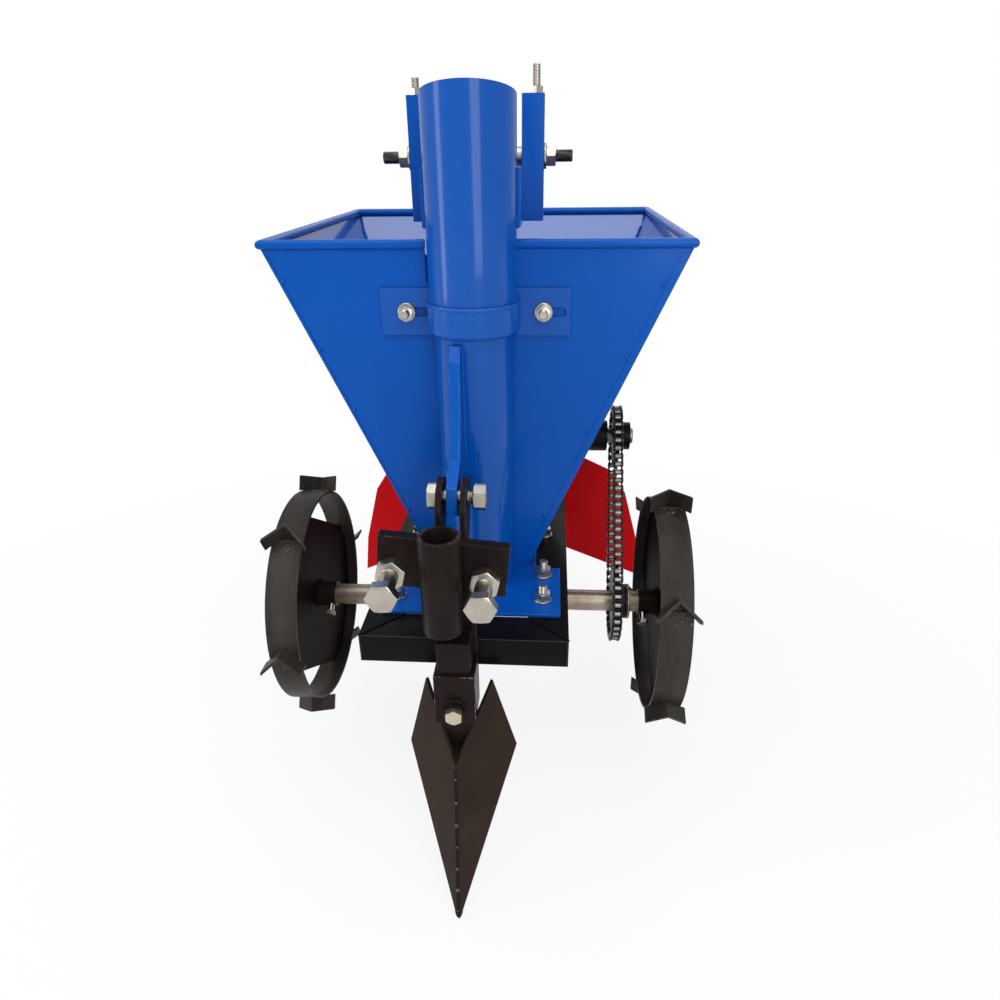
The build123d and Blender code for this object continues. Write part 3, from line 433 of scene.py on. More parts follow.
# Black frame paint: real chips on its edges, and a painted bluish-grey highlight laid all along its edges by
# edge_highlight.
FRAME_BLACK = replace(BLACK, name="frame_black", bare_and_highlight=(0.062, 0.06, 0.064), wear=1.0,
                      slot="black_paint", edge_highlight=0.7)
PRIMER = Finish("dark_steel", (0.01, 0.0058, 0.0052), (0.016, 0.01, 0.0088), 0.36, coat=0.03,
                bare_and_highlight=(0.1, 0.076, 0.062), wear=0.6, dust=0.03, peel=0.55, peel_scale=300.0,
                patch_scale=11.0, specular=0.08)
WORN = replace(PRIMER, name="worn_steel", bare_and_highlight=(0.42, 0.38, 0.33), wear=1.0, slot="dark_steel")
TREAD = Finish("worn_tread", (0.018, 0.0145, 0.012), (0.05, 0.041, 0.034), 0.4, coat=0.03,
               bare_and_highlight=(0.13, 0.11, 0.09), wear=0.8, dust=0.05, peel=0.6, peel_scale=260.0,
               patch_scale=4.0, slot="dark_steel", specular=0.1, streak=5.0)
SPATTER = Finish("weld_spatter", (0.13, 0.115, 0.1), (0.07, 0.06, 0.05), 0.4, metallic=0.5,
                 bare_and_highlight=(0.3, 0.28, 0.25), wear=0.2, dust=0.05, peel=0.5, patch_scale=60.0,
                 slot="dark_steel")
DISC = Finish("dark_disc", (0.0075, 0.004, 0.003), (0.011, 0.006, 0.0045), 0.5,
              bare_and_highlight=(0.07, 0.045, 0.035), wear=0.5, dust=0.02, peel=0.6, peel_scale=260.0,
              patch_scale=8.0, slot="dark_steel", specular=0.02)
SHARE = Finish("furrow_steel", (0.026, 0.0155, 0.0105), (0.036, 0.023, 0.016), 0.4, coat=0.015,
               bare_and_highlight=(0.15, 0.11, 0.085), wear=0.7, dust=0.03, peel=0.6, peel_scale=240.0,
               patch_scale=10.0, slot="dark_steel", specular=0.05)
STEEL = Finish("bare_steel", (0.36, 0.3, 0.24), (0.2, 0.15, 0.115), 0.34, metallic=1.0,
               bare_and_highlight=(0.5, 0.46, 0.4), wear=0.5, dust=0.1, peel=0.3, patch_scale=18.0)
DARK_THREAD = Finish("dark_thread", (0.14, 0.13, 0.12), (0.08, 0.074, 0.07), 0.34, metallic=1.0,
                     bare_and_highlight=(0.3, 0.28, 0.26), wear=0.6, dust=0.05, peel=0.3, patch_scale=30.0,
                     slot="bare_steel")
OILED = Finish("oiled_chain", (0.05, 0.045, 0.042), (0.022, 0.02, 0.019), 0.36, metallic=1.0,
               bare_and_highlight=(0.2, 0.18, 0.17), wear=0.5, dust=0.04, peel=0.25, patch_scale=30.0,
               slot="bare_steel")
ROLLER = Finish("chain_roller", (0.3, 0.28, 0.26), (0.17, 0.155, 0.145), 0.28, metallic=1.0,
                bare_and_highlight=(0.7, 0.68, 0.66), wear=0.3, dust=0.03, peel=0.15, patch_scale=40.0,
                slot="bare_steel")
ZINC = Finish("zinc", (0.52, 0.485, 0.43), (0.42, 0.385, 0.33), 0.27, metallic=1.0,
              bare_and_highlight=(0.8, 0.78, 0.74), wear=0.4, dust=0.03, peel=0.2, patch_scale=35.0)
YELLOW_ZINC = replace(ZINC, name="yellow_zinc", color=(0.62, 0.575, 0.43), shade=(0.54, 0.49, 0.35),
                      roughness=0.3, bare_and_highlight=(0.8, 0.77, 0.66), slot="zinc")
RUBBER = Finish("belt_rubber", (0.03, 0.03, 0.03), (0.045, 0.043, 0.04), 0.7,
                bare_and_highlight=(0.09, 0.085, 0.08), wear=0.4, dust=0.3, peel=0.8, peel_scale=700.0)


def dress(mesh: bpy.types.Mesh, name: str, body: Optional[str], finish: Finish,
          *nodes: str) -> bpy.types.Object:
    """Put a finished mesh in the scene, on its body and with its finish.

    Args:
        mesh: the mesh, in the row's metres.
        name: the piece's name.
        body: the body that it rides on, or nothing for a piece put on no body.
        finish: its finish.
        nodes: nodes of the frame that it stands for.

    Returns:
        The piece.
    """
    piece = stand(name, mesh)
    mesh.materials.clear()
    mesh.materials.append(finish.material())
    if body:
        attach(piece, body)
    finish.slot or finish.name
    if nodes:
        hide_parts(*nodes)
    LOG.info("%s rides on %s", name, body or "two bodies")
    return piece


class Shell:
    """Mesh under construction, in machine millimetres."""

    def __init__(self) -> None:
        """Start empty."""
        self.points: list[Vector] = []
        self.faces: list[tuple[int, ...]] = []

    def rings(self, rings: Sequence[Sequence[Sequence[float]]], lay: Matrix, closed: bool = False) -> None:
        """Skin a row of rings of equal count, capped at both ends unless closed on itself.

        Args:
            rings: rings of points.
            lay: a placing matrix.
            closed: join the last ring to the first in place of caps.
        """
        base, count, rows = len(self.points), len(rings[0]), len(rings)
        faces: list[Iterable[int]] = []
        for row in range(rows if closed else rows - 1):
            low, high = row * count, ((row + 1) % rows) * count
            for k in range(count):
                n = (k + 1) % count
                faces.append((low + k, low + n, high + n, high + k))
        if not closed:
            faces.append(reversed(range(count)))
            faces.append(range((rows - 1) * count, rows * count))
        self.points.extend(lay @ Vector(point) for ring in rings for point in ring)
        self.faces.extend(tuple(base + i for i in face) for face in faces)

    def turned(self, profile: Sequence[Pair], sides: int, lay: Matrix, closed: bool = False) -> None:
        """Turn a profile of (radius, height) pairs about Z, closed on itself for a ring."""
        spin = [2 * math.pi * k / sides for k in range(sides)]
        self.rings([[(r * math.cos(a), r * math.sin(a), z) for a in spin] for r, z in profile], lay, closed)

    def hexagon(self, flats: float, low: float, high: float, lay: Matrix, turn: float = 0.0) -> None:
        """Add a hexagon head or nut with its corners turned down at both ends.

        Args:
            flats: size across flats.
            low: lower end.
            high: upper end.
            lay: a placing matrix.
            turn: turn about its own axis in degrees.
        """
        sides, inner, slope = 48, flats / 2, 0.55
        face = inner * 0.96
        corner, skew = math.pi / 6, math.radians(turn)
        spin = [2 * math.pi * k / sides for k in range(sides)]
        reach = [inner / math.cos((a - skew + corner) % (2 * corner) - corner) for a in spin]
        fall = [(r - face) * slope for r in reach]
        end, level = [face] * sides, [0.0] * sides
        rows = ((end, low, level, 1), (reach, low, fall, 1), (reach, high, fall, -1), (end, high, level, 1))
        self.rings([[(r * math.cos(a), r * math.sin(a), z + way * f) for a, r, f in zip(spin, radii, drops)]
                    for radii, z, drops, way in rows], lay)

    def thread(self, radius: float, low: float, high: float, pitch: float, lay: Matrix) -> None:
        """Add a screw thread with a chamfered upper end.

        Args:
            radius: outside radius.
            low: lower end.
            high: upper end.
            pitch: thread pitch.
            lay: a placing matrix.
        """
        sides, rows_each = 20, 4
        steps = max(2, int((high - low) / pitch * rows_each))
        depth = 0.5 * pitch
        tip = radius - 1.2 * depth
        rings = []
        for row in range(steps + 1):
            z = low + (high - low) * row / steps
            ring = []
            for k in range(sides):
                a = 2 * math.pi * k / sides
                phase = (z / pitch - k / sides) % 1.0
                r = min(radius - depth * abs(2 * phase - 1), tip + (high - z))
                ring.append((r * math.cos(a), r * math.sin(a), z))
            rings.append(ring)
        self.rings(rings, lay)

    def washer(self, bore: float, radius: float, low: float, high: float, lay: Matrix,
               soft: Optional[float] = None, sides: int = 32) -> None:
        """Add a flat washer or an eye with its outer edges broken.

        Args:
            bore: hole radius.
            radius: outside radius.
            low: lower face.
            high: upper face.
            lay: a placing matrix.
            soft: width of the broken edges, a quarter of the thickness if not given.
            sides: sides round the axis.
        """
        soft = 0.25 * (high - low) if soft is None else soft
        profile = [(bore, low), (radius - soft, low), (radius, low + soft), (radius, high - soft),
                   (radius - soft, high), (bore, high)]
        self.turned(profile, sides, lay, closed=True)

    def plate(self, outline: Sequence[Pair], low: float, high: float, lay: Matrix) -> None:
        """Add a flat plate from its outline and the heights of its two faces."""
        self.rings([[(x, y, z) for x, y in outline] for z in (low, high)], lay)

    def mesh(self, name: str, smooth: float = 32.0) -> bpy.types.Mesh:
        """Make the mesh in the row's metres, normals outwards, smooth up to an angle.

        Args:
            name: the mesh's name.
            smooth: edges sharper than this, in degrees, stay sharp.

        Returns:
            The mesh.
        """
        mesh = bpy.data.meshes.new(name)
        mesh.from_pydata([place(p) for p in self.points], [], self.faces)
        shape = bmesh.new()
        shape.from_mesh(mesh)
        bmesh.ops.recalc_face_normals(shape, faces=shape.faces)
        shape.to_mesh(mesh)
        shape.free()
        mesh.shade_smooth()
        mesh.set_sharp_from_angle(angle=math.radians(smooth))
        return mesh

    def dressed(self, name: str, body: str, finish: Finish, *nodes: str) -> bpy.types.Object:
        """Make the mesh and dress it as a piece of the same name."""
        return dress(self.mesh(name), name, body, finish, *nodes)


@dataclass
class Softened:
    """A node of the frame with its edges broken, as cut and painted metal has them.

    Attributes:
        node: the node.
        finish: its finish.
        chamfer: width of the broken edge, in millimetres.
        rounds: segments across the edge.
        bends: the piece is put on no body.
        reshape: a last change to the mesh, where it has one.
    """

    node: str
    finish: Finish
    chamfer: float
    rounds: int = 1
    bends: bool = False
    reshape: Optional[Callable[[bmesh.types.BMesh], None]] = None

    def broken(self, shape: bmesh.types.BMesh) -> set:
        """Find the narrow faces that breaking the edges has made.

        Args:
            shape: the mesh with its edges broken.

        Returns:
            The narrow faces.
        """
        narrow = set()
        for face in shape.faces:
            rims = [e for e in face.edges if e.calc_face_angle(0.0) > RIM]
            run = sum(e.calc_length() for e in rims)
            if len(rims) > 1 and 2 * face.calc_area() < 2.2 * self.chamfer * MM * run:
                narrow.add(face)
        return narrow

    def build(self) -> bpy.types.Object:
        """Copy the node's mesh, merge it, break its edges and dress it.

        Returns:
            The piece that stands for the node.
        """
        shape = bmesh.new()
        shape.from_mesh(FRAME["nodes"][self.node].data)
        bmesh.ops.remove_doubles(shape, verts=shape.verts, dist=MERGE)
        bmesh.ops.dissolve_limit(shape, angle_limit=FLAT, verts=shape.verts, edges=shape.edges)
        hard = [e for e in shape.edges if e.calc_face_angle(0.0) > HARD]
        bmesh.ops.bevel(shape, geom=hard, offset=self.chamfer * MM, segments=self.rounds, profile=0.6,
                        affect="EDGES", clamp_overlap=True)
        if self.reshape:
            self.reshape(shape)
        narrow = self.broken(shape)
        for face in shape.faces:
            inner = [e for e in face.edges if narrow.isdisjoint(e.link_faces)]
            face.smooth = face in narrow or any(CURVED < e.calc_face_angle(0.0) < HARD for e in inner)
        for edge in shape.edges:
            edge.smooth = edge.calc_face_angle(0.0) < HARD
        shape.faces.index_update()
        wear_and_highlight = [face.index for face in narrow]
        mesh = bpy.data.meshes.new(self.node + "_softened")
        shape.to_mesh(mesh)
        shape.free()
        mark = mesh.attributes.new(EDGE, "FLOAT", "FACE")
        for index in wear_and_highlight:
            mark.data[index].value = 1.0
        body = None if self.bends else body_of(self.node)
        return dress(mesh, self.node + "_dressed", body, self.finish, self.node)


def soften(finish: Finish, chamfer: float, *nodes: str, rounds: int = 1) -> None:
    """Dress several nodes of the frame alike, in order, with their edges broken."""
    for node in nodes:
        Softened(node, finish, chamfer, rounds).build()


def geometry_tree(name: str, **inputs: str) -> tuple[NodeTree, dict]:
    """Start a geometry node tree.

    Args:
        name: the tree's name.
        inputs: names and socket types of its inputs, after the geometry and the finish.

    Returns:
        The tree and its input sockets by name.
    """
    tree = bpy.data.node_groups.new(name, "GeometryNodeTree")
    every = {"Geometry": "NodeSocketGeometry", "Finish": "NodeSocketMaterial", **inputs}
    for key, kind in every.items():
        tree.interface.new_socket(name=key, in_out="INPUT", socket_type=kind)
    tree.interface.new_socket(name="Geometry", in_out="OUTPUT", socket_type="NodeSocketGeometry")
    kit = NodeTree(tree)
    return kit, {socket.name: socket for socket in kit.add("NodeGroupInput").outputs}


def grown(name: str, data: bpy.types.ID, kit: NodeTree, **values: object) -> bpy.types.Mesh:
    """Run a geometry node tree on some data and keep what it makes as a plain mesh.

    Args:
        name: the mesh's name.
        data: the marks or the paths that the tree starts from.
        kit: the tree.
        values: the tree's inputs by name.

    Returns:
        The mesh.
    """
    holder = stand(name + "_holder", data)
    modifier = holder.modifiers.new("nodes", "NODES")
    modifier.node_group = kit.tree
    for item in kit.tree.interface.items_tree:
        if item.name in values:
            modifier[item.identifier] = values[item.name]
    bpy.context.view_layer.update()
    graph = bpy.context.evaluated_depsgraph_get()
    mesh = bpy.data.meshes.new_from_object(holder.evaluated_get(graph))
    mesh.name = name
    holder.modifiers.clear()
    bpy.data.objects.remove(holder)
    return mesh


def close_tree(kit: NodeTree, made: Socket, finish: Socket) -> None:
    """End a geometry node tree by making its instances real and giving them their finish.

    Args:
        kit: the tree.
        made: the geometry that the tree has made.
        finish: the finish's input socket.
    """
    real = kit.add("GeometryNodeRealizeInstances", {0: made}).outputs[0]
    paint = kit.add("GeometryNodeSetMaterial", {0: real, "Material": finish}).outputs[0]
    kit.add("NodeGroupOutput", {0: paint})


@dataclass
class Repeat:
    """A small shape repeated at marks by geometry nodes.

    Attributes:
        name: the piece's name.
        shape: the repeated mesh, about its own origin, in metres.
        marks: places in the row's metres, with a turn and a size for each.
        finish: the finish.
    """

    name: str
    shape: bpy.types.Mesh
    marks: list[Mark]
    finish: Finish

    def tree(self) -> NodeTree:
        """Build the tree that sets the shape on every mark.

        Returns:
            The tree.
        """
        kit, given = geometry_tree(self.name + "_marks", Shape="NodeSocketObject")
        shape = kit.add("GeometryNodeObjectInfo", {0: given["Shape"]})
        turn = kit.add("GeometryNodeInputNamedAttribute", {"Name": "turn"}, data_type="FLOAT_VECTOR")
        grow = kit.add("GeometryNodeInputNamedAttribute", {"Name": "grow"}, data_type="FLOAT")
        spread = kit.add("GeometryNodeInstanceOnPoints", {
            "Points": given["Geometry"],
            "Instance": shape.outputs["Geometry"],
            "Rotation": turn.outputs[0],
            "Scale": grow.outputs[0],
        })
        close_tree(kit, spread.outputs[0], given["Finish"])
        return kit

    def build(self, body: str, *nodes: str) -> bpy.types.Object:
        """Make the repeated piece.

        Args:
            body: the body that it rides on.
            nodes: nodes of the frame that it stands for.

        Returns:
            The piece.
        """
        seed = stand(self.name + "_shape", self.shape)
        dots = bpy.data.meshes.new(self.name + "_marks")
        dots.from_pydata([mark[0] for mark in self.marks], [], [])
        dots.attributes.new("turn", "FLOAT_VECTOR", "POINT")
        dots.attributes.new("grow", "FLOAT", "POINT")
        for index, (_, turn, size) in enumerate(self.marks):
            dots.attributes["turn"].data[index].vector = turn
            dots.attributes["grow"].data[index].value = size
        mesh = grown(self.name, dots, self.tree(), Shape=seed, Finish=self.finish.material())
        bpy.data.objects.remove(seed)
        return dress(mesh, self.name, body, self.finish, *nodes)


@dataclass
class WeldSeam:
    """Rippled weld beads laid along paths by geometry nodes.

    Attributes:
        name: the piece's name.
        paths: runs of points, in machine millimetres.
        radius: half the bead's width, in millimetres.
        finish: the paint over the bead.
        ripple: distance between ripples, in millimetres.
    """

    name: str
    paths: list[list[Point]]
    radius: float
    finish: Finish
    ripple: float = 3.4

    def tree(self) -> NodeTree:
        """Build the tree that sweeps a rippled bead along every path.

        Returns:
            The tree.
        """
        kit, given = geometry_tree(self.name + "_bead", Radius="NodeSocketFloat", Ripple="NodeSocketFloat")
        step = kit.math("MULTIPLY", given["Ripple"], 0.25)
        feed = {"Curve": given["Geometry"], "Length": step}
        fine = kit.add("GeometryNodeResampleCurve", feed, mode="LENGTH")
        along = kit.add("GeometryNodeSplineParameter").outputs["Length"]
        phase = kit.math("DIVIDE", along, given["Ripple"])
        wave = kit.math("SINE", kit.math("MULTIPLY", phase, 2 * math.pi), 0.0)
        lumps = kit.add("ShaderNodeTexNoise", {"Scale": 130.0}).outputs[0]
        swell = kit.math("ADD", kit.math("MULTIPLY", wave, 0.12), kit.math("MULTIPLY", lumps, 0.7))
        ring = kit.add("GeometryNodeCurvePrimitiveCircle", {"Resolution": 8, "Radius": given["Radius"]})
        sweep = kit.add("GeometryNodeCurveToMesh", {
            "Curve": fine.outputs[0],
            "Profile Curve": ring.outputs[0],
            "Scale": kit.math("ADD", swell, 0.62),
            "Fill Caps": True,
        })
        close_tree(kit, sweep.outputs[0], given["Finish"])
        return kit

    def build(self, body: str) -> bpy.types.Object:
        """Make the beads.

        Args:
            body: the body that they ride on.

        Returns:
            The piece.
        """
        curve = bpy.data.curves.new(self.name + "_paths", "CURVE")
        curve.dimensions = "3D"
        for path in self.paths:
            spline = curve.splines.new("POLY")
            spline.points.add(len(path) - 1)
            for dot, point in zip(spline.points, path):
                dot.co = (*place(point), 1.0)
        mesh = grown(self.name, curve, self.tree(), Radius=self.radius * MM, Ripple=self.ripple * MM,
                     Finish=self.finish.material())
        mesh.shade_smooth()
        return dress(mesh, self.name, body, self.finish)


def arc(radius: float, z: float, start: float, end: float, steps: int = 40) -> list[Point]:
    """Give points on a level arc round the seed tube, its angles in degrees, -90 at the front."""
    turns = [math.radians(start + (end - start) * k / steps) for k in range(steps + 1)]
    return [(radius * math.cos(a), radius * math.sin(a), z) for a in turns]


def blob(radius: float, height: float) -> bpy.types.Mesh:
    """Make a small low dome for a tack weld or a crumb of weld, facing the front.

    Args:
        radius: the dome's radius, in millimetres.
        height: its height, in millimetres.

    Returns:
        The mesh about its own origin, in metres.
    """
    turns = [math.radians(a) for a in (0, 25, 50, 75)]
    dome = [(radius * math.cos(a), height * math.sin(a)) for a in turns]
    shell = Shell()
    shell.turned([(radius, -0.8), *dome, (0.1, height)], 14, HOME @ Axis.FRONT.matrix())
    return shell.mesh("tack", 60.0)


def scatter(k: int, turn: float, stretch: float) -> float:
    """Give a fixed fraction for a number, spread between 0 and 1 as if by chance."""
    return math.sin(turn * (k + 1)) * stretch % 1.0


@dataclass
class SeedTube:
    """The two tubes that the seed potatoes fall through, with the weld between them."""

    lower_radius: float = 60.0
    joint: float = 435.0

    def build(self) -> None:
        """Dress both tubes and weld them together."""
        soften(TUBE_BLUE, 1.2, "seed_tube_upper", "seed_tube_lower")
        ring = arc(self.lower_radius + 1.5, self.joint - 1.0, -180, 0)
        WeldSeam("tube_lap_weld", [ring], 3.0, BLUE).build("planter")


@dataclass
class Hopper:
    """The sheet hopper with its round rim, folded laps, seam welds and spot welds."""

    front: float = 20.0
    foot: float = 6.0
    top: float = 548.0
    top_half: float = 322.0
    foot_half: float = 84.0
    rear_top: float = 635.0
    rear_foot: float = 300.0
    lap_foot: float = 20.0
    lap_edge: float = 0.6

    def side_x(self, z: float) -> float:
        """Give the half width of the front sheet at a height."""
        share = (z - self.foot) / (self.top - self.foot)
        return self.foot_half + share * (self.top_half - self.foot_half)

    def rear_y(self, z: float) -> float:
        """Give the rear sheet's place at a height."""
        share = (z - self.foot) / (self.top - self.foot)
        return self.rear_foot + share * (self.rear_top - self.rear_foot)

    def laps(self) -> None:
        """Fold strips over the front sheet's slanting edges and beside the tube's notch."""
        laps = Shell()
        flat = Axis.FRONT.matrix()
        low, high, edge = self.lap_foot, self.top - 6.0, self.lap_edge
        for side, width in ((-1, 5.0), (1, 13.0)):
            corners = ((low, edge), (high, edge), (high, width), (low, width))
            strip = [(side * (self.side_x(z) - inset), z) for z, inset in corners]
            laps.plate(strip, -self.front - 0.2, 1.2 - self.front, flat)
        left, right, low, high = -80.0, -50.0, 490.0, self.top - 8.0
        strip = [(left, low), (right, low), (right, high), (left, high)]
        laps.plate(strip, -self.front - 6.0, -self.front - 4.5, flat)
        laps.dressed("hopper_laps", "planter", BLUE)

    def build(self) -> None:
        """Dress the sheets and add the laps and welds."""
        soften(BLUE, 0.5, "hopper_front")
        soften(SHEET, 0.5, "hopper_rear", "hopper_side_left", "hopper_side_right", "hopper_floor")
        soften(BLUE, 0.6, "hopper_rim")
        heights = [20 + 17.4 * k for k in range(30)]
        seams = [[(side * (self.side_x(z) - 3.5), self.rear_y(z) - 4.0, z) for z in heights]
                 for side in (-1, 1)]
        WeldSeam("hopper_inside_seams", seams, 2.6, BLUE, ripple=4.2).build("planter")
        self.laps()
        tacks = []
        left, right = (120.0, 299.0, 400.0, 503.0), (110.0, 264.0, 390.0, 497.0)
        for side, inset, spots in ((-1, 8.0, left), (1, 17.0, right)):
            for z in spots:
                at = (side * (self.side_x(z) - inset), self.front - 0.2, z)
                tacks.append((place(at), UPRIGHT, 1.0))
        Repeat("hopper_tack_welds", blob(3.6, 2.2), tacks, BLUE).build("planter")


@dataclass
class Bolt:
    """A hexagon bolt drawn in full: chamfered head and nut, washer and thread.

    Attributes:
        radius: shank radius.
        under: the face that the head bears on.
        over: the face that the washer and nut bear on.
        lay: the placing matrix, with the nut towards +Z.
    """

    radius: float
    under: float
    over: float
    lay: Matrix

    def add(self, shell: Shell) -> None:
        """Add the bolt to a shell.

        Args:
            shell: the mesh under construction.
        """
        r = self.radius
        bore, pitch, tail = r * 0.98, 0.26 * r + 0.1, 1.6 * r
        washer_top = self.over + WASHER * r
        nut_top = washer_top + NUT * r
        shell.hexagon(FLATS * r, self.under - HEAD * r, self.under, self.lay)
        shell.washer(bore, WASHER_RADIUS * r, self.over, washer_top, self.lay)
        shell.hexagon(FLATS * r, washer_top, nut_top, self.lay)
        shell.thread(r, self.under, nut_top + tail, pitch, self.lay)


@dataclass
class Collar:
    """The strap that clamps the tube to the hopper front."""

    bolt_x: float = 105.0
    bolt_z: float = 458.0
    radius: float = 7.0
    head_face: float = -22.0
    nut_face: float = -15.0
    outside: float = 70.5
    top: float = 475.0

    def build(self) -> None:
        """Dress the strap, its bolts and its weld."""
        soften(TUBE_BLUE, 0.8, "collar_strap")
        bolts = Shell()
        for x in (-self.bolt_x, self.bolt_x):
            lay = Axis.FRONT.matrix((x, 0, self.bolt_z))
            Bolt(self.radius, self.head_face, self.nut_face, lay).add(bolts)
        bolts.dressed("collar_bolts_drawn", "planter", ZINC, "collar_bolts")
        bead = arc(self.outside - 2.5, self.top + 0.5, -164, -16)
        WeldSeam("collar_weld", [bead], 3.5, TUBE_BLUE, ripple=6.0).build("planter")


@dataclass
class MainFrame:
    """The mitred angle frame with base plate, bearings and bolts.

    Attributes:
        bolt_xs: places of the bolts across the frame.
        bolt_rows: each row's place along Y, and the faces under its heads and its nuts.
        radius: the bolts' shank radius.
    """

    bolt_xs: Pair = (-135.0, 112.0)
    bolt_rows: tuple[Point, ...] = ((-8.0, -19.0, 6.0), (156.0, -19.0, 0.0), (-88.0, -5.0, 6.0))
    radius: float = 8.0

    def build(self) -> None:
        """Dress the frame and its bolts."""
        # The frame's black finish paints a highlight all along its edges.
        soften(FRAME_BLACK, 2.0, "frame_front", "frame_right", "frame_rear", "frame_left", rounds=3)
        soften(BLUE, 0.9, "base_plate")
        soften(BLACK, 1.2, "axle_bearings")
        bolts = Shell()
        for x in self.bolt_xs:
            for y, under, over in self.bolt_rows:
                Bolt(self.radius, under, over, Axis.Z.matrix((x, y, 0))).add(bolts)
        bolts.dressed("frame_bolts_drawn", "planter", ZINC, "frame_bolts")
        mitres = [[(155, -196, 1), (90, -132, 1)], [(-178, -196, 1), (-113, -132, 1)]]
        WeldSeam("frame_corner_welds", mitres, 1.6, BLACK, ripple=3.0).build("planter")


@dataclass
class Wheels:
    """Both lugged steel wheels on their axle.

    Attributes:
        radius: outside radius of the bands.
        inner: the bands' inner edges, from the middle of the machine.
        tread: width of the bands.
        lugs: lugs on each wheel.
        crumbs_each: crumbs of weld beside each lug.
        hub: the hubs' radius.
        disc_weld: the welds on both faces of the disc, from the middle of the band.
        phases: the first lug's angle, left and right.
        turns: the angle of the rim welds, left and right.
    """

    radius: float = 203.0
    inner: float = 308.0
    tread: float = 55.0
    lugs: int = 6
    crumbs_each: int = 9
    hub: float = 24.0
    disc_weld: float = 5.0
    phases: Pair = (30.0, 0.0)
    turns: Pair = (-32.0, 28.0)

    @staticmethod
    def on(x: float, radius: float, angle: float) -> Point:
        """Give a point on a circle round the axle, its angle from the rear in degrees."""
        a = math.radians(angle)
        return x, AXLE[0] + radius * math.cos(a), AXLE[1] + radius * math.sin(a)

    def crumbs(self, x: float, phase: float) -> list[Mark]:
        """Strew crumbs of weld beside one wheel's lugs.

        Args:
            x: the middle of the wheel's band.
            phase: the first lug's angle.

        Returns:
            A mark for each crumb.
        """
        marks = []
        for k in range(self.lugs * self.crumbs_each):
            reach, swing = scatter(k, 12.9898, 43758.5453), scatter(k, 78.233, 12543.123)
            a = phase + 360.0 * (k // self.crumbs_each) / self.lugs + 94.0 + 9.0 * (swing - 0.5)
            at = self.on(x + 50.0 * (reach - 0.5), self.radius - 0.2, a)
            marks.append((place(at), Euler((math.radians(a + 180.0), 0, 0)), 0.5 + reach * swing * 1.6))
        return marks

    def build(self) -> None:
        """Dress the wheels and weld their lugs."""
        for side in ("left", "right"):
            soften(TREAD, 1.0, "wheel_band_" + side, "wheel_lugs_" + side)
        soften(PRIMER, 1.5, "wheel_hubs")
        soften(DISC, 1.2, "wheel_discs")
        soften(STEEL, 1.2, "axle")
        soften(ZINC, 0.5, "hub_bolts")
        rings, feet, crumbs = [], [], []
        for side, phase, turn in zip((-1, 1), self.phases, self.turns):
            x = side * (self.inner + self.tread / 2)
            for face in (x - self.disc_weld, x + self.disc_weld):
                rings.append([self.on(face, self.hub + 1.0, 10.0 * k) for k in range(37)])
                for start in (turn - 40.0, turn + 140.0):
                    rings.append([self.on(face, self.radius - 6.5, start + 4.0 * k) for k in range(21)])
            for k in range(self.lugs):
                a = phase + 360.0 * k / self.lugs + 91.4
                feet.append([self.on(x + side * run, self.radius + 0.5, a) for run in (-20, -10, 0, 10, 20)])
            crumbs += self.crumbs(x, phase)
        Repeat("weld_crumbs", blob(2.4, 2.0), crumbs, SPATTER).build("wheels")
        WeldSeam("wheel_welds", rings, 3.0, DISC).build("wheels")
        WeldSeam("lug_welds", feet, 3.2, TREAD, ripple=4.0).build("wheels")


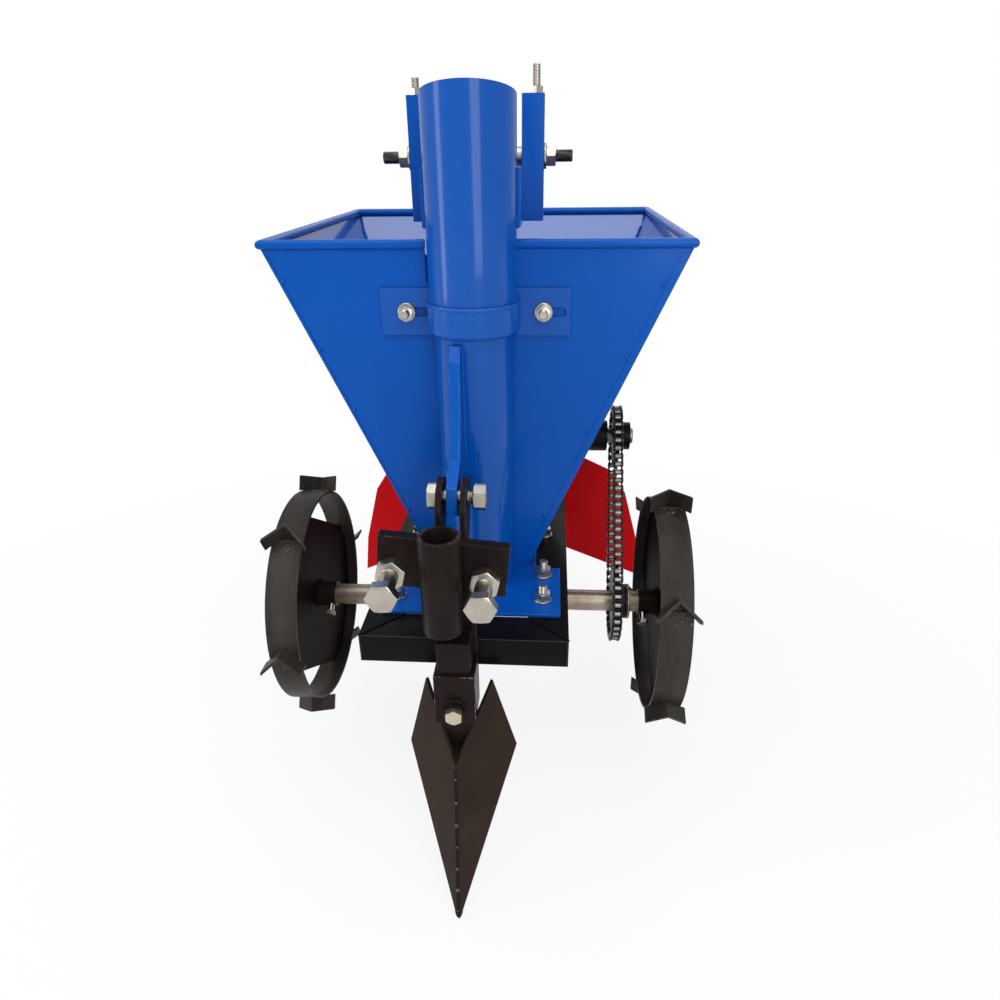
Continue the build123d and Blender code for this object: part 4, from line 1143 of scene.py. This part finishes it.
@dataclass
class ChainDrive:
    """The roller chain drawn link by link, with its sprockets."""

    pitch: float = 15.875
    links: int = 66
    x: float = 250.0
    drive_teeth: int = 28
    driven_teeth: int = 21
    roller: float = 5.08
    roller_half: float = 5.4
    plate: float = 1.9
    hub: float = 33.0
    hub_bore: float = 20.4
    hub_end: float = 276.5
    inner_height: float = 14.4
    outer_height: float = 13.0
    waist: float = 0.78

    def pins(self) -> list[Pair]:
        """Walk the pitch line and give every pin's (Y, Z).

        Returns:
            The pins in order round the loop.
        """
        big = self.pitch * self.drive_teeth / (2 * math.pi)
        small = self.pitch * self.driven_teeth / (2 * math.pi)
        span = (LOWER_SHAFT[0] - AXLE[0], LOWER_SHAFT[1] - AXLE[1])
        far = math.hypot(*span)
        lean = math.atan2(span[1], span[0])
        spread = math.acos((big - small) / far)
        strand = far * math.sin(spread)
        meet, leave = lean - spread, lean + spread
        big_arc = big * (2 * math.pi - 2 * spread)
        small_arc = small * 2 * spread

        def on(centre: Pair, r: float, a: float) -> Pair:
            """Give a point on a circle."""
            return centre[0] + r * math.cos(a), centre[1] + r * math.sin(a)

        def between(first: Pair, second: Pair, share: float) -> Pair:
            """Give a point between two points."""
            return first[0] + share * (second[0] - first[0]), first[1] + share * (second[1] - first[1])

        found = []
        for k in range(self.links):
            s = k * self.pitch
            if s < big_arc:
                found.append(on(AXLE, big, leave + s / big))
                continue
            s -= big_arc
            if s < strand:
                found.append(between(on(AXLE, big, meet), on(LOWER_SHAFT, small, meet), s / strand))
                continue
            s -= strand
            if s < small_arc:
                found.append(on(LOWER_SHAFT, small, meet + s / small))
                continue
            s -= small_arc
            found.append(between(on(LOWER_SHAFT, small, leave), on(AXLE, big, leave), s / strand))
        return found

    def side_plates(self, height: float, inside: float) -> bpy.types.Mesh:
        """Make one link's two waisted side plates, along Y.

        Args:
            height: height of the plate's round ends.
            inside: distance of the plate's inner face from the chain's middle.

        Returns:
            The mesh about its own origin, in metres.
        """
        half, r = self.pitch / 2, height / 2
        bevel, shrink = 0.3, 0.94

        def end(middle: float, first: int) -> list[Pair]:
            """Give the outline of one round end, from its first angle in degrees."""
            turns = [math.radians(a) for a in range(first, first + 221, 20)]
            return [(middle + r * math.cos(a), r * math.sin(a)) for a in turns]

        outline = [*end(half, -110), (0.0, self.waist * r), *end(-half, 70), (0.0, -self.waist * r)]
        small = [(y * shrink, z * shrink) for y, z in outline]
        rows = ((small, 0.0), (outline, bevel), (outline, self.plate - bevel), (small, self.plate))
        lay = HOME @ Matrix(((0, 0, 1, 0), (1, 0, 0, 0), (0, 1, 0, 0), (0, 0, 0, 1)))
        shell = Shell()
        for low in (-inside - self.plate, inside):
            shell.rings([[(y, z, low + rise) for y, z in ring] for ring, rise in rows], lay)
        return shell.mesh("link_plates", 40.0)

    def pin_and_roller(self) -> bpy.types.Mesh:
        """Make one roller with its riveted pin, along X.

        Returns:
            The mesh about its own origin, in metres.
        """
        shell = Shell()
        end = self.roller_half
        tip = end + 2 * self.plate + 1.2
        for radius, reach, soft, fall, sides in ((self.roller, end, 0.4, 0.4, 16), (2.5, tip, 0.7, 0.9, 12)):
            profile = [(radius - fall, -reach), (radius, soft - reach), (radius, reach - soft),
                       (radius - fall, reach)]
            shell.turned(profile, sides, HOME @ Axis.X.matrix())
        return shell.mesh("pin_and_roller", 40.0)

    def build(self) -> None:
        """Draw the chain and dress the sprockets."""
        soften(PRIMER, 0.5, "drive_sprocket")
        soften(BLACK, 0.5, "driven_sprocket")
        face = Shell()
        low, high = self.hub_end - 5.0, self.hub_end + 0.4
        face.washer(self.hub_bore, self.hub + 0.5, low, high, Axis.X.matrix((0, *AXLE)))
        face.dressed("sprocket_hub_face", "wheels", STEEL)
        pins = self.pins()
        inner, outer, rollers = [], [], []
        for k, (y0, z0) in enumerate(pins):
            y1, z1 = pins[(k + 1) % self.links]
            turn = Euler((math.atan2(z1 - z0, y1 - y0), 0, 0))
            mark = (place((self.x, (y0 + y1) / 2, (z0 + z1) / 2)), turn, 1.0)
            (outer if k % 2 else inner).append(mark)
            rollers.append((place((self.x, y0, z0)), turn, 1.0))
        narrow = self.side_plates(self.inner_height, self.roller_half + 0.1)
        wide = self.side_plates(self.outer_height, self.roller_half + self.plate + 0.2)
        Repeat("chain_inner_plates", narrow, inner, OILED).build("planter", "drive_chain")
        Repeat("chain_outer_plates", wide, outer, OILED).build("planter")
        Repeat("chain_rollers", self.pin_and_roller(), rollers, ROLLER).build("planter")


@dataclass
class Elevator:
    """Shafts, pulleys and the cup belt between the hopper and the tube's top."""

    plain_half: float = 100.0
    shaft_half: float = 144.0
    pitch: float = 2.5

    def upper_shaft(self) -> None:
        """Draw the upper shaft with its threaded ends."""
        shaft = Shell()
        r, plain = UPPER_SHAFT_RADIUS, self.plain_half
        shaft.turned([(r, -plain), (r, plain)], 32, Axis.X.matrix((0, *UPPER_SHAFT)))
        for axis in (Axis.X, Axis.BACK_X):
            shaft.thread(r, plain - 0.2, self.shaft_half, self.pitch, axis.matrix((0, *UPPER_SHAFT)))
        shaft.dressed("upper_shaft_drawn", body_of("upper_shaft"), DARK_THREAD, "upper_shaft")

    def build(self) -> None:
        """Dress the elevator."""
        soften(BLACK, 1.2, "elevator_bearings")
        soften(STEEL, 1.2, "elevator_shaft")
        soften(STEEL, 0.6, "lower_pulley", "upper_pulley")
        self.upper_shaft()
        soften(ZINC, 0.4, "upper_spacers")
        low, high = place((0, *LOWER_SHAFT)), place((0, *UPPER_SHAFT))
        for node, finish in (("elevator_belt", RUBBER), ("elevator_cups", ZINC)):
            piece = Softened(node, finish, 0.3, bends=True).build()
            tuple(low)
            tuple(high)
            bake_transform(piece)


@dataclass
class TakeUp:
    """Slotted brackets, threaded rods and nuts that tighten the cup belt."""

    bracket_half: float = 101.0
    bracket_top: float = 749.0
    rod_x: float = 89.0
    rod: float = 6.0
    rod_pitch: float = 1.75
    rod_tops: Pair = (772.0, 786.0)
    eye: float = 15.0
    eye_end: float = 95.8
    weld_x: float = 66.5

    def build(self) -> None:
        """Dress the brackets and draw the rods and nuts."""
        y, z = UPPER_SHAFT
        r = UPPER_SHAFT_RADIUS
        bore = r + 0.1
        rods, nuts, shaft_nuts = Shell(), Shell(), Shell()
        for side, label, top in zip((-1, 1), ("left", "right"), self.rod_tops):
            soften(BLUE, 2.4, "takeup_bracket_" + label, rounds=3)
            upright = Axis.Z.matrix((side * self.rod_x, y, 0))
            low, high = sorted((side * (self.rod_x - self.rod - 2), side * self.eye_end))
            rods.washer(bore, self.eye, low, high, Axis.X.matrix((0, y, z)), soft=0.8, sides=36)
            rods.thread(self.rod, z + self.eye - 2.0, top, self.rod_pitch, upright)
            nuts.hexagon(FLATS * self.rod, self.bracket_top + 0.1, self.bracket_top + NUT * self.rod, upright)
            outward = (Axis.X if side > 0 else Axis.BACK_X).matrix((0, y, z))
            face = self.bracket_half + WASHER * r
            shaft_nuts.washer(bore, WASHER_RADIUS * r, self.bracket_half + 0.1, face, outward)
            shaft_nuts.hexagon(FLATS * r, face, face + NUT * r, outward)
        rods.dressed("takeup_rods_drawn", "takeup", ZINC, "takeup_rods")
        nuts.dressed("takeup_nuts_drawn", body_of("takeup_nuts"), ZINC, "takeup_nuts")
        shaft_nuts.dressed("shaft_nuts_drawn", body_of("upper_shaft_nuts"), ZINC, "upper_shaft_nuts")
        rows = [(side * self.weld_x, height) for side in (-1, 1) for height in (580.0, 654.0)]
        welds = [[(x, -2 + 8.0 * k, height) for k in range(13)] for x, height in rows]
        WeldSeam("bracket_welds", welds, 2.4, BLUE, ripple=4.0).build("planter")


@dataclass
class Hitch:
    """Tongue, ears, cross plate, sleeve and the bolts of the hitch."""

    x: float = -32.0
    tongue_x: float = -22.0
    tongue_weld: float = -56.5
    pivot: Pair = (-150.0, 224.0)
    pivot_radius: float = 12.0
    pivot_head: float = -22.5
    pivot_nut: float = 30.5
    pivot_turn: float = 24.0
    cross_front: float = -217.0
    cross_back: float = -197.0
    cross_middle: float = 142.0
    roll: float = 5.5
    adjust_xs: Pair = (-75.0, 62.0)
    adjust_drop: float = -13.0
    adjust_radius: float = 13.5
    adjust_ahead: float = 66.0
    adjust_behind: float = 26.0
    adjust_plain: float = 40.0
    head_turn: float = 22.0
    nut_turn: float = 8.0

    def rolled(self) -> Matrix:
        """Give the matrix of the cross plate's tilt."""
        middle = Matrix.Translation((self.x, 0, self.cross_middle))
        return middle @ Matrix.Rotation(math.radians(self.roll), 4, "Y")

    def pivot_bolt(self) -> None:
        """Draw the pivot bolt with its head, plain shank, thread and nut."""
        pin = Shell()
        r = self.pivot_radius
        lay = Axis.X.matrix((0, *self.pivot))
        head, nut = self.tongue_x + self.pivot_head, self.tongue_x + self.pivot_nut
        pin.hexagon(FLATS * r, head - HEAD * r, head, lay, self.pivot_turn)
        pin.turned([(r, head - 0.5), (r, nut - 7.0)], 36, lay)
        pin.thread(r, nut - 7.2, nut + NUT * r, 2.6, lay)
        pin.hexagon(FLATS * r, nut, nut + NUT * r - 0.3, lay, self.pivot_turn)
        pin.dressed("pivot_bolt_drawn", body_of("pivot_bolt"), ZINC, "pivot_bolt")

    def adjusters(self) -> None:
        """Draw the two adjusting bolts and their nuts."""
        nuts = Shell()
        r = self.adjust_radius
        head, plain = self.cross_front - self.adjust_ahead, self.adjust_plain
        for label, x in zip(("left", "right"), self.adjust_xs):
            lay = self.rolled() @ Axis.Y.matrix((x, 0, self.adjust_drop))
            screw = Shell()
            screw.hexagon(FLATS * r, head - HEAD * r, head, lay, self.head_turn)
            screw.turned([(r, head - 0.5), (r, head + plain)], 36, lay)
            screw.thread(r, head + plain - 0.2, self.cross_back + self.adjust_behind, 2.8, lay)
            node = "adjust_bolt_" + label
            screw.dressed(node + "_drawn", "adjuster_" + label, ZINC, node)
            nuts.hexagon(FLATS * r, self.cross_front - NUT * r, self.cross_front - 0.1, lay, self.nut_turn)
        nuts.dressed("adjust_nuts_drawn", "hitch", ZINC, "adjust_nuts")

    def build(self) -> None:
        """Dress the hitch and draw its bolts and welds."""
        soften(BLUE, 1.5, "tongue_plate", rounds=2)
        soften(PRIMER, 1.2, "hitch_ears", rounds=2)
        soften(PRIMER, 1.2, "hitch_cross_plate")
        soften(PRIMER, 1.8, "hitch_sleeve", rounds=2)
        self.pivot_bolt()
        self.adjusters()
        down = [179.0 - 7.0 * k for k in range(11)]
        sides = [[(x, self.cross_front - 4.0, z) for z in down] for x in (self.x - 16.5, self.x + 16.5)]
        WeldSeam("sleeve_welds", sides, 3.4, PRIMER, ripple=4.0).build("hitch")
        climb = (160.0, 240.0, 330.0, 424.0)
        edges = (self.tongue_x - 9.0, self.tongue_x + 9.0)
        tongue = [[(x, self.tongue_weld, z) for z in climb] for x in edges]
        WeldSeam("tongue_welds", tongue, 3.0, BLUE, ripple=4.4).build("planter")


@dataclass
class Opener:
    """The furrow opener on its stem, with the weld down its ridge.

    Attributes:
        x: the ridge's place across the machine.
        notch: the ridge's upper end, as Y and Z.
        point: the ridge's lower end, as Y and Z.
        wing: a blade's reach from the ridge.
        wing_shift: how far both wings are moved to the right.
        front: the socket's front face.
        set_z: the set bolt's height.
        radius: the set bolt's radius.
        nut_flats: the set nut's size across flats.
        nut_height: the set nut's height.
        nut_turn: the set nut's turn in degrees.
        weld_radius: radius of the weld round the set nut.
        blunt: height of the tip's round end.
        spare: how much wider the blades are at the tip.
        web_half: half width of the block between the blades.
        web_back: the block's rear face.
        web_heights: the block's lower and upper face.
    """

    x: float = -17.0
    notch: Pair = (-301.3, -172.0)
    point: Pair = (-357.3, -458.0)
    wing: Point = (88.0, 74.0, -14.0)
    wing_shift: float = 4.0
    front: float = -273.3
    set_z: float = -75.0
    radius: float = 8.0
    nut_flats: float = 28.8
    nut_height: float = 12.0
    nut_turn: float = 14.0
    weld_radius: float = 15.0
    blunt: float = 14.0
    spare: float = 4.0
    web_half: float = 31.0
    web_back: float = -267.2
    web_heights: Pair = (-172.0, -153.0)

    def blunted(self, side: int) -> Callable[[bmesh.types.BMesh], None]:
        """Give the change that rounds off a blade's lower end.

        Args:
            side: -1 for the left blade, 1 for the right.

        Returns:
            A function that changes the blade's mesh.
        """
        tip = place((self.x, *self.point))
        ridge = place((self.x, *self.notch)) - tip
        climb = ridge.normalized()
        wing = Vector((side * self.wing[0] + self.wing_shift, self.wing[1], self.wing[2])) * MM
        across = wing.normalized()
        slope = wing.length / ridge.length
        widest = slope * self.blunt + self.spare * (1 - self.blunt * MM / ridge.length)

        def change(shape: bmesh.types.BMesh) -> None:
            """Cut the mesh across near its tip and move its outer edge out to a round end.

            Args:
                shape: the blade's mesh.
            """
            for height in (0.5, 2.0, 5.0, 9.0, self.blunt):
                every = [*shape.verts, *shape.edges, *shape.faces]
                bmesh.ops.bisect_plane(shape, geom=every, plane_co=tip + climb * height * MM, plane_no=climb)
            for vert in shape.verts:
                high = (vert.co - tip).dot(climb) / MM
                if not 0.0 < high * MM < ridge.length:
                    continue
                edge = slope * high
                wide = edge + self.spare * (1 - high * MM / ridge.length)
                if high < self.blunt:
                    wide = widest * math.sqrt(1 - (1 - high / self.blunt) ** 2)
                share = (vert.co - tip).dot(across) / MM / edge
                vert.co += across * (wide - edge) * min(max(share, 0.0), 1.0) * MM

        return change

    def set_bolt(self) -> None:
        """Draw the set bolt, its nut and the weld round the nut."""
        r, low = self.radius, -self.front
        lay = Axis.FRONT.matrix((self.x, 0, self.set_z))
        bolt, nut = Shell(), Shell()
        bolt.hexagon(FLATS * r * 0.98, low + NUT * r, low + (NUT + HEAD) * r, lay)
        bolt.turned([(r, low - 6.0), (r, low + 1.7 * r)], 24, lay)
        bolt.dressed("set_bolt_drawn", "opener", YELLOW_ZINC, "opener_set_bolt")
        nut.hexagon(self.nut_flats, low, low + self.nut_height, lay, self.nut_turn)
        nut.dressed("set_nut_drawn", "opener", PRIMER)
        wide, y = self.weld_radius, self.front - 0.4
        turns = [math.radians(a) for a in range(0, 361, 12)]
        ring = [(self.x + wide * math.cos(a), y, self.set_z + wide * math.sin(a)) for a in turns]
        WeldSeam("set_nut_weld", [ring], 2.6, WORN, ripple=4.2).build("opener")

    def build(self) -> None:
        """Dress the opener and draw its set bolt and weld."""
        soften(PRIMER, 1.0, "opener_stem")
        soften(WORN, 1.4, "opener_socket")
        for side, label in ((-1, "left"), (1, "right")):
            Softened("opener_blade_" + label, SHARE, 0.9, reshape=self.blunted(side)).build()
        self.set_bolt()
        (y0, z0), (y1, z1) = self.notch, self.point
        steps = [0.02 + 0.965 * k / 20 for k in range(21)]
        ridge = [(self.x, y0 + s * (y1 - y0) + 2.5, z0 + s * (z1 - z0)) for s in steps]
        WeldSeam("opener_ridge_weld", [ridge], 3.6, PRIMER, ripple=2.8).build("opener")
        beads = [(place((self.x, y - 3.1, z)), UPRIGHT, 0.8 + 0.3 * (k % 3))
                 for k, (_, y, z) in enumerate(ridge[1::3])]
        Repeat("opener_ridge_beads", blob(2.2, 2.2), beads, SPATTER).build("opener")
        web = Shell()
        wide, back = self.web_half, self.web_back
        corners = [(self.x, y0 + 7.0), (self.x + wide, back), (self.x - wide, back)]
        web.plate(corners, *self.web_heights, Axis.Z.matrix())
        web.dressed("opener_web", "opener", PRIMER)


@dataclass
class Coverers:
    """Both covering plates on their posts."""

    def build(self) -> None:
        """Dress the coverers."""
        for side in ("left", "right"):
            soften(RED, 0.8, "coverer_plate_" + side, "coverer_post_" + side)
        soften(BLACK, 1.0, "coverer_sockets")


@dataclass
class Studio:
    """White sweep, soft lights and the camera that the photo was taken from.

    Attributes:
        lens: focal length in millimetres, on a sensor 36 mm wide.
        shift_y: the lens's upward shift.
        eye: the camera's place, in machine millimetres.
        yaw: its turn to the left in degrees.
        pitch: its downward angle in degrees.
        tilt: its roll in degrees.
        floor_z: the floor's height, in machine millimetres.
        floor_half: half the floor's width, in metres.
        near_white: how white the floor looks round the machine.
    """

    lens: float = 26.17
    shift_y: float = 0.034
    eye: Point = (117.0, -1120.5, 680.0)
    yaw: float = 4.17
    pitch: float = 28.0
    tilt: float = 0.77
    floor_z: float = -460.5
    floor_half: float = 9.0
    near_white: float = 0.84

    def camera(self) -> None:
        """Set the camera up from the fitted view."""
        data = bpy.data.cameras.new("camera")
        data.lens = self.lens
        data.sensor_width = 36.0
        data.shift_y = self.shift_y
        data.clip_start = 0.01
        camera = stand("camera", data)
        yaw, pitch, tilt = math.radians(self.yaw), math.radians(self.pitch), math.radians(self.tilt)
        ahead = Vector((-math.sin(yaw) * math.cos(pitch), math.cos(yaw) * math.cos(pitch), -math.sin(pitch)))
        level = Vector((math.cos(yaw), math.sin(yaw), 0.0))
        below = ahead.cross(level)
        right = math.cos(tilt) * level + math.sin(tilt) * below
        down = -math.sin(tilt) * level + math.cos(tilt) * below
        turn = Matrix((right, -down, -ahead)).transposed().to_4x4()
        camera.matrix_world = Matrix.Translation(place(self.eye)) @ turn
        bpy.context.scene.camera = camera

    def floor(self) -> None:
        """Lay a pale floor that goes white for the camera and keeps the shadow."""
        mesh = bpy.data.meshes.new("floor")
        half, z = self.floor_half, place((0, 0, self.floor_z)).z
        corners = [(-half, -half, z), (half, -half, z), (half, half, z), (-half, half, z)]
        mesh.from_pydata(corners, [], [(0, 1, 2, 3)])
        floor = stand("floor", mesh)
        material = bpy.data.materials.new("floor")
        kit = emptied(material)
        matte = kit.add("ShaderNodeBsdfDiffuse", {0: (0.93, 0.93, 0.93, 1.0)})
        glow = kit.add("ShaderNodeEmission", {1: 1.0})
        path = kit.add("ShaderNodeLightPath").outputs
        seen = kit.math("MAXIMUM", path["Is Camera Ray"], path["Is Glossy Ray"])
        seen = kit.math("MAXIMUM", seen, path["Is Transmission Ray"])
        where = kit.add("ShaderNodeTexCoord").outputs["Object"]
        span = kit.add("ShaderNodeVectorMath", {0: where}, operation="LENGTH").outputs["Value"]
        far = kit.math("MULTIPLY", kit.ramp(span, 1.0, 2.2), 1.0 - self.near_white)
        share = kit.math("MULTIPLY", seen, kit.math("ADD", far, self.near_white))
        blend = kit.add("ShaderNodeMixShader", {0: share, 1: matte.outputs[0], 2: glow.outputs[0]})
        kit.add("ShaderNodeOutputMaterial", {0: blend.outputs[0]})
        mesh.materials.append(material)

    def world(self) -> None:
        """Light the scene softly from all round, white where it is seen."""
        world = bpy.data.worlds.new("studio")
        bpy.context.scene.world = world
        kit = emptied(world)
        path = kit.add("ShaderNodeLightPath").outputs
        dim = kit.add("ShaderNodeBackground", {0: (0.93, 0.95, 1.0, 1.0), 1: 0.42})
        plain = kit.add("ShaderNodeBackground", {0: (1.0, 1.0, 1.0, 1.0), 1: 1.0})
        mirrored = kit.math("MAXIMUM", path["Is Glossy Ray"], path["Is Transmission Ray"])
        seen = kit.math("MAXIMUM", path["Is Camera Ray"], kit.math("MULTIPLY", mirrored, 0.5))
        blend = kit.add("ShaderNodeMixShader", {0: seen, 1: dim.outputs[0], 2: plain.outputs[0]})
        kit.add("ShaderNodeOutputWorld", {0: blend.outputs[0]})

    @staticmethod
    def panel(name: str, at: Point, aim: Point, size: Pair, power: float) -> None:
        """Add one soft light panel.

        Args:
            name: the light's name.
            at: where it hangs, in the row's metres.
            aim: the point that it faces.
            size: its width and height in metres.
            power: its power in watts.
        """
        data = bpy.data.lights.new(name, "AREA")
        data.shape = "RECTANGLE"
        data.size, data.size_y = size
        data.energy = power
        light = stand(name, data)
        facing = (Vector(aim) - Vector(at)).to_track_quat("-Z", "Y")
        light.matrix_world = Matrix.Translation(Vector(at)) @ facing.to_matrix().to_4x4()

    def build(self) -> None:
        """Build the studio."""
        bpy.context.scene.view_settings.view_transform = "Standard"
        self.camera()
        self.floor()
        self.world()
        middle = (0.03, 0.25, 0.1)
        self.panel("overhead", (0.0, -0.2, 2.7), (0.03, 0.25, 0.0), (3.0, 2.6), 46.0)
        self.panel("front_right", (1.0, -2.2, 1.0), middle, (1.0, 2.2), 26.0)
        self.panel("front_left", (-2.3, -0.6, 0.9), middle, (0.6, 2.2), 20.0)
        self.panel("rear", (0.3, 2.6, 1.6), middle, (2.0, 1.2), 10.0)


def main() -> None:
    """Build every sub-assembly in order, then the studio."""
    logging.basicConfig(level=logging.INFO, format="%(message)s")
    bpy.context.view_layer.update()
    parts = [SeedTube(), Hopper(), Collar(), MainFrame(), Wheels(), ChainDrive(), Elevator(), TakeUp(),
             Hitch(), Opener(), Coverers(), Studio()]
    for part in parts:
        part.build()
        LOG.info("built %s", type(part).__name__)


if __name__ == "__main__":
    main()
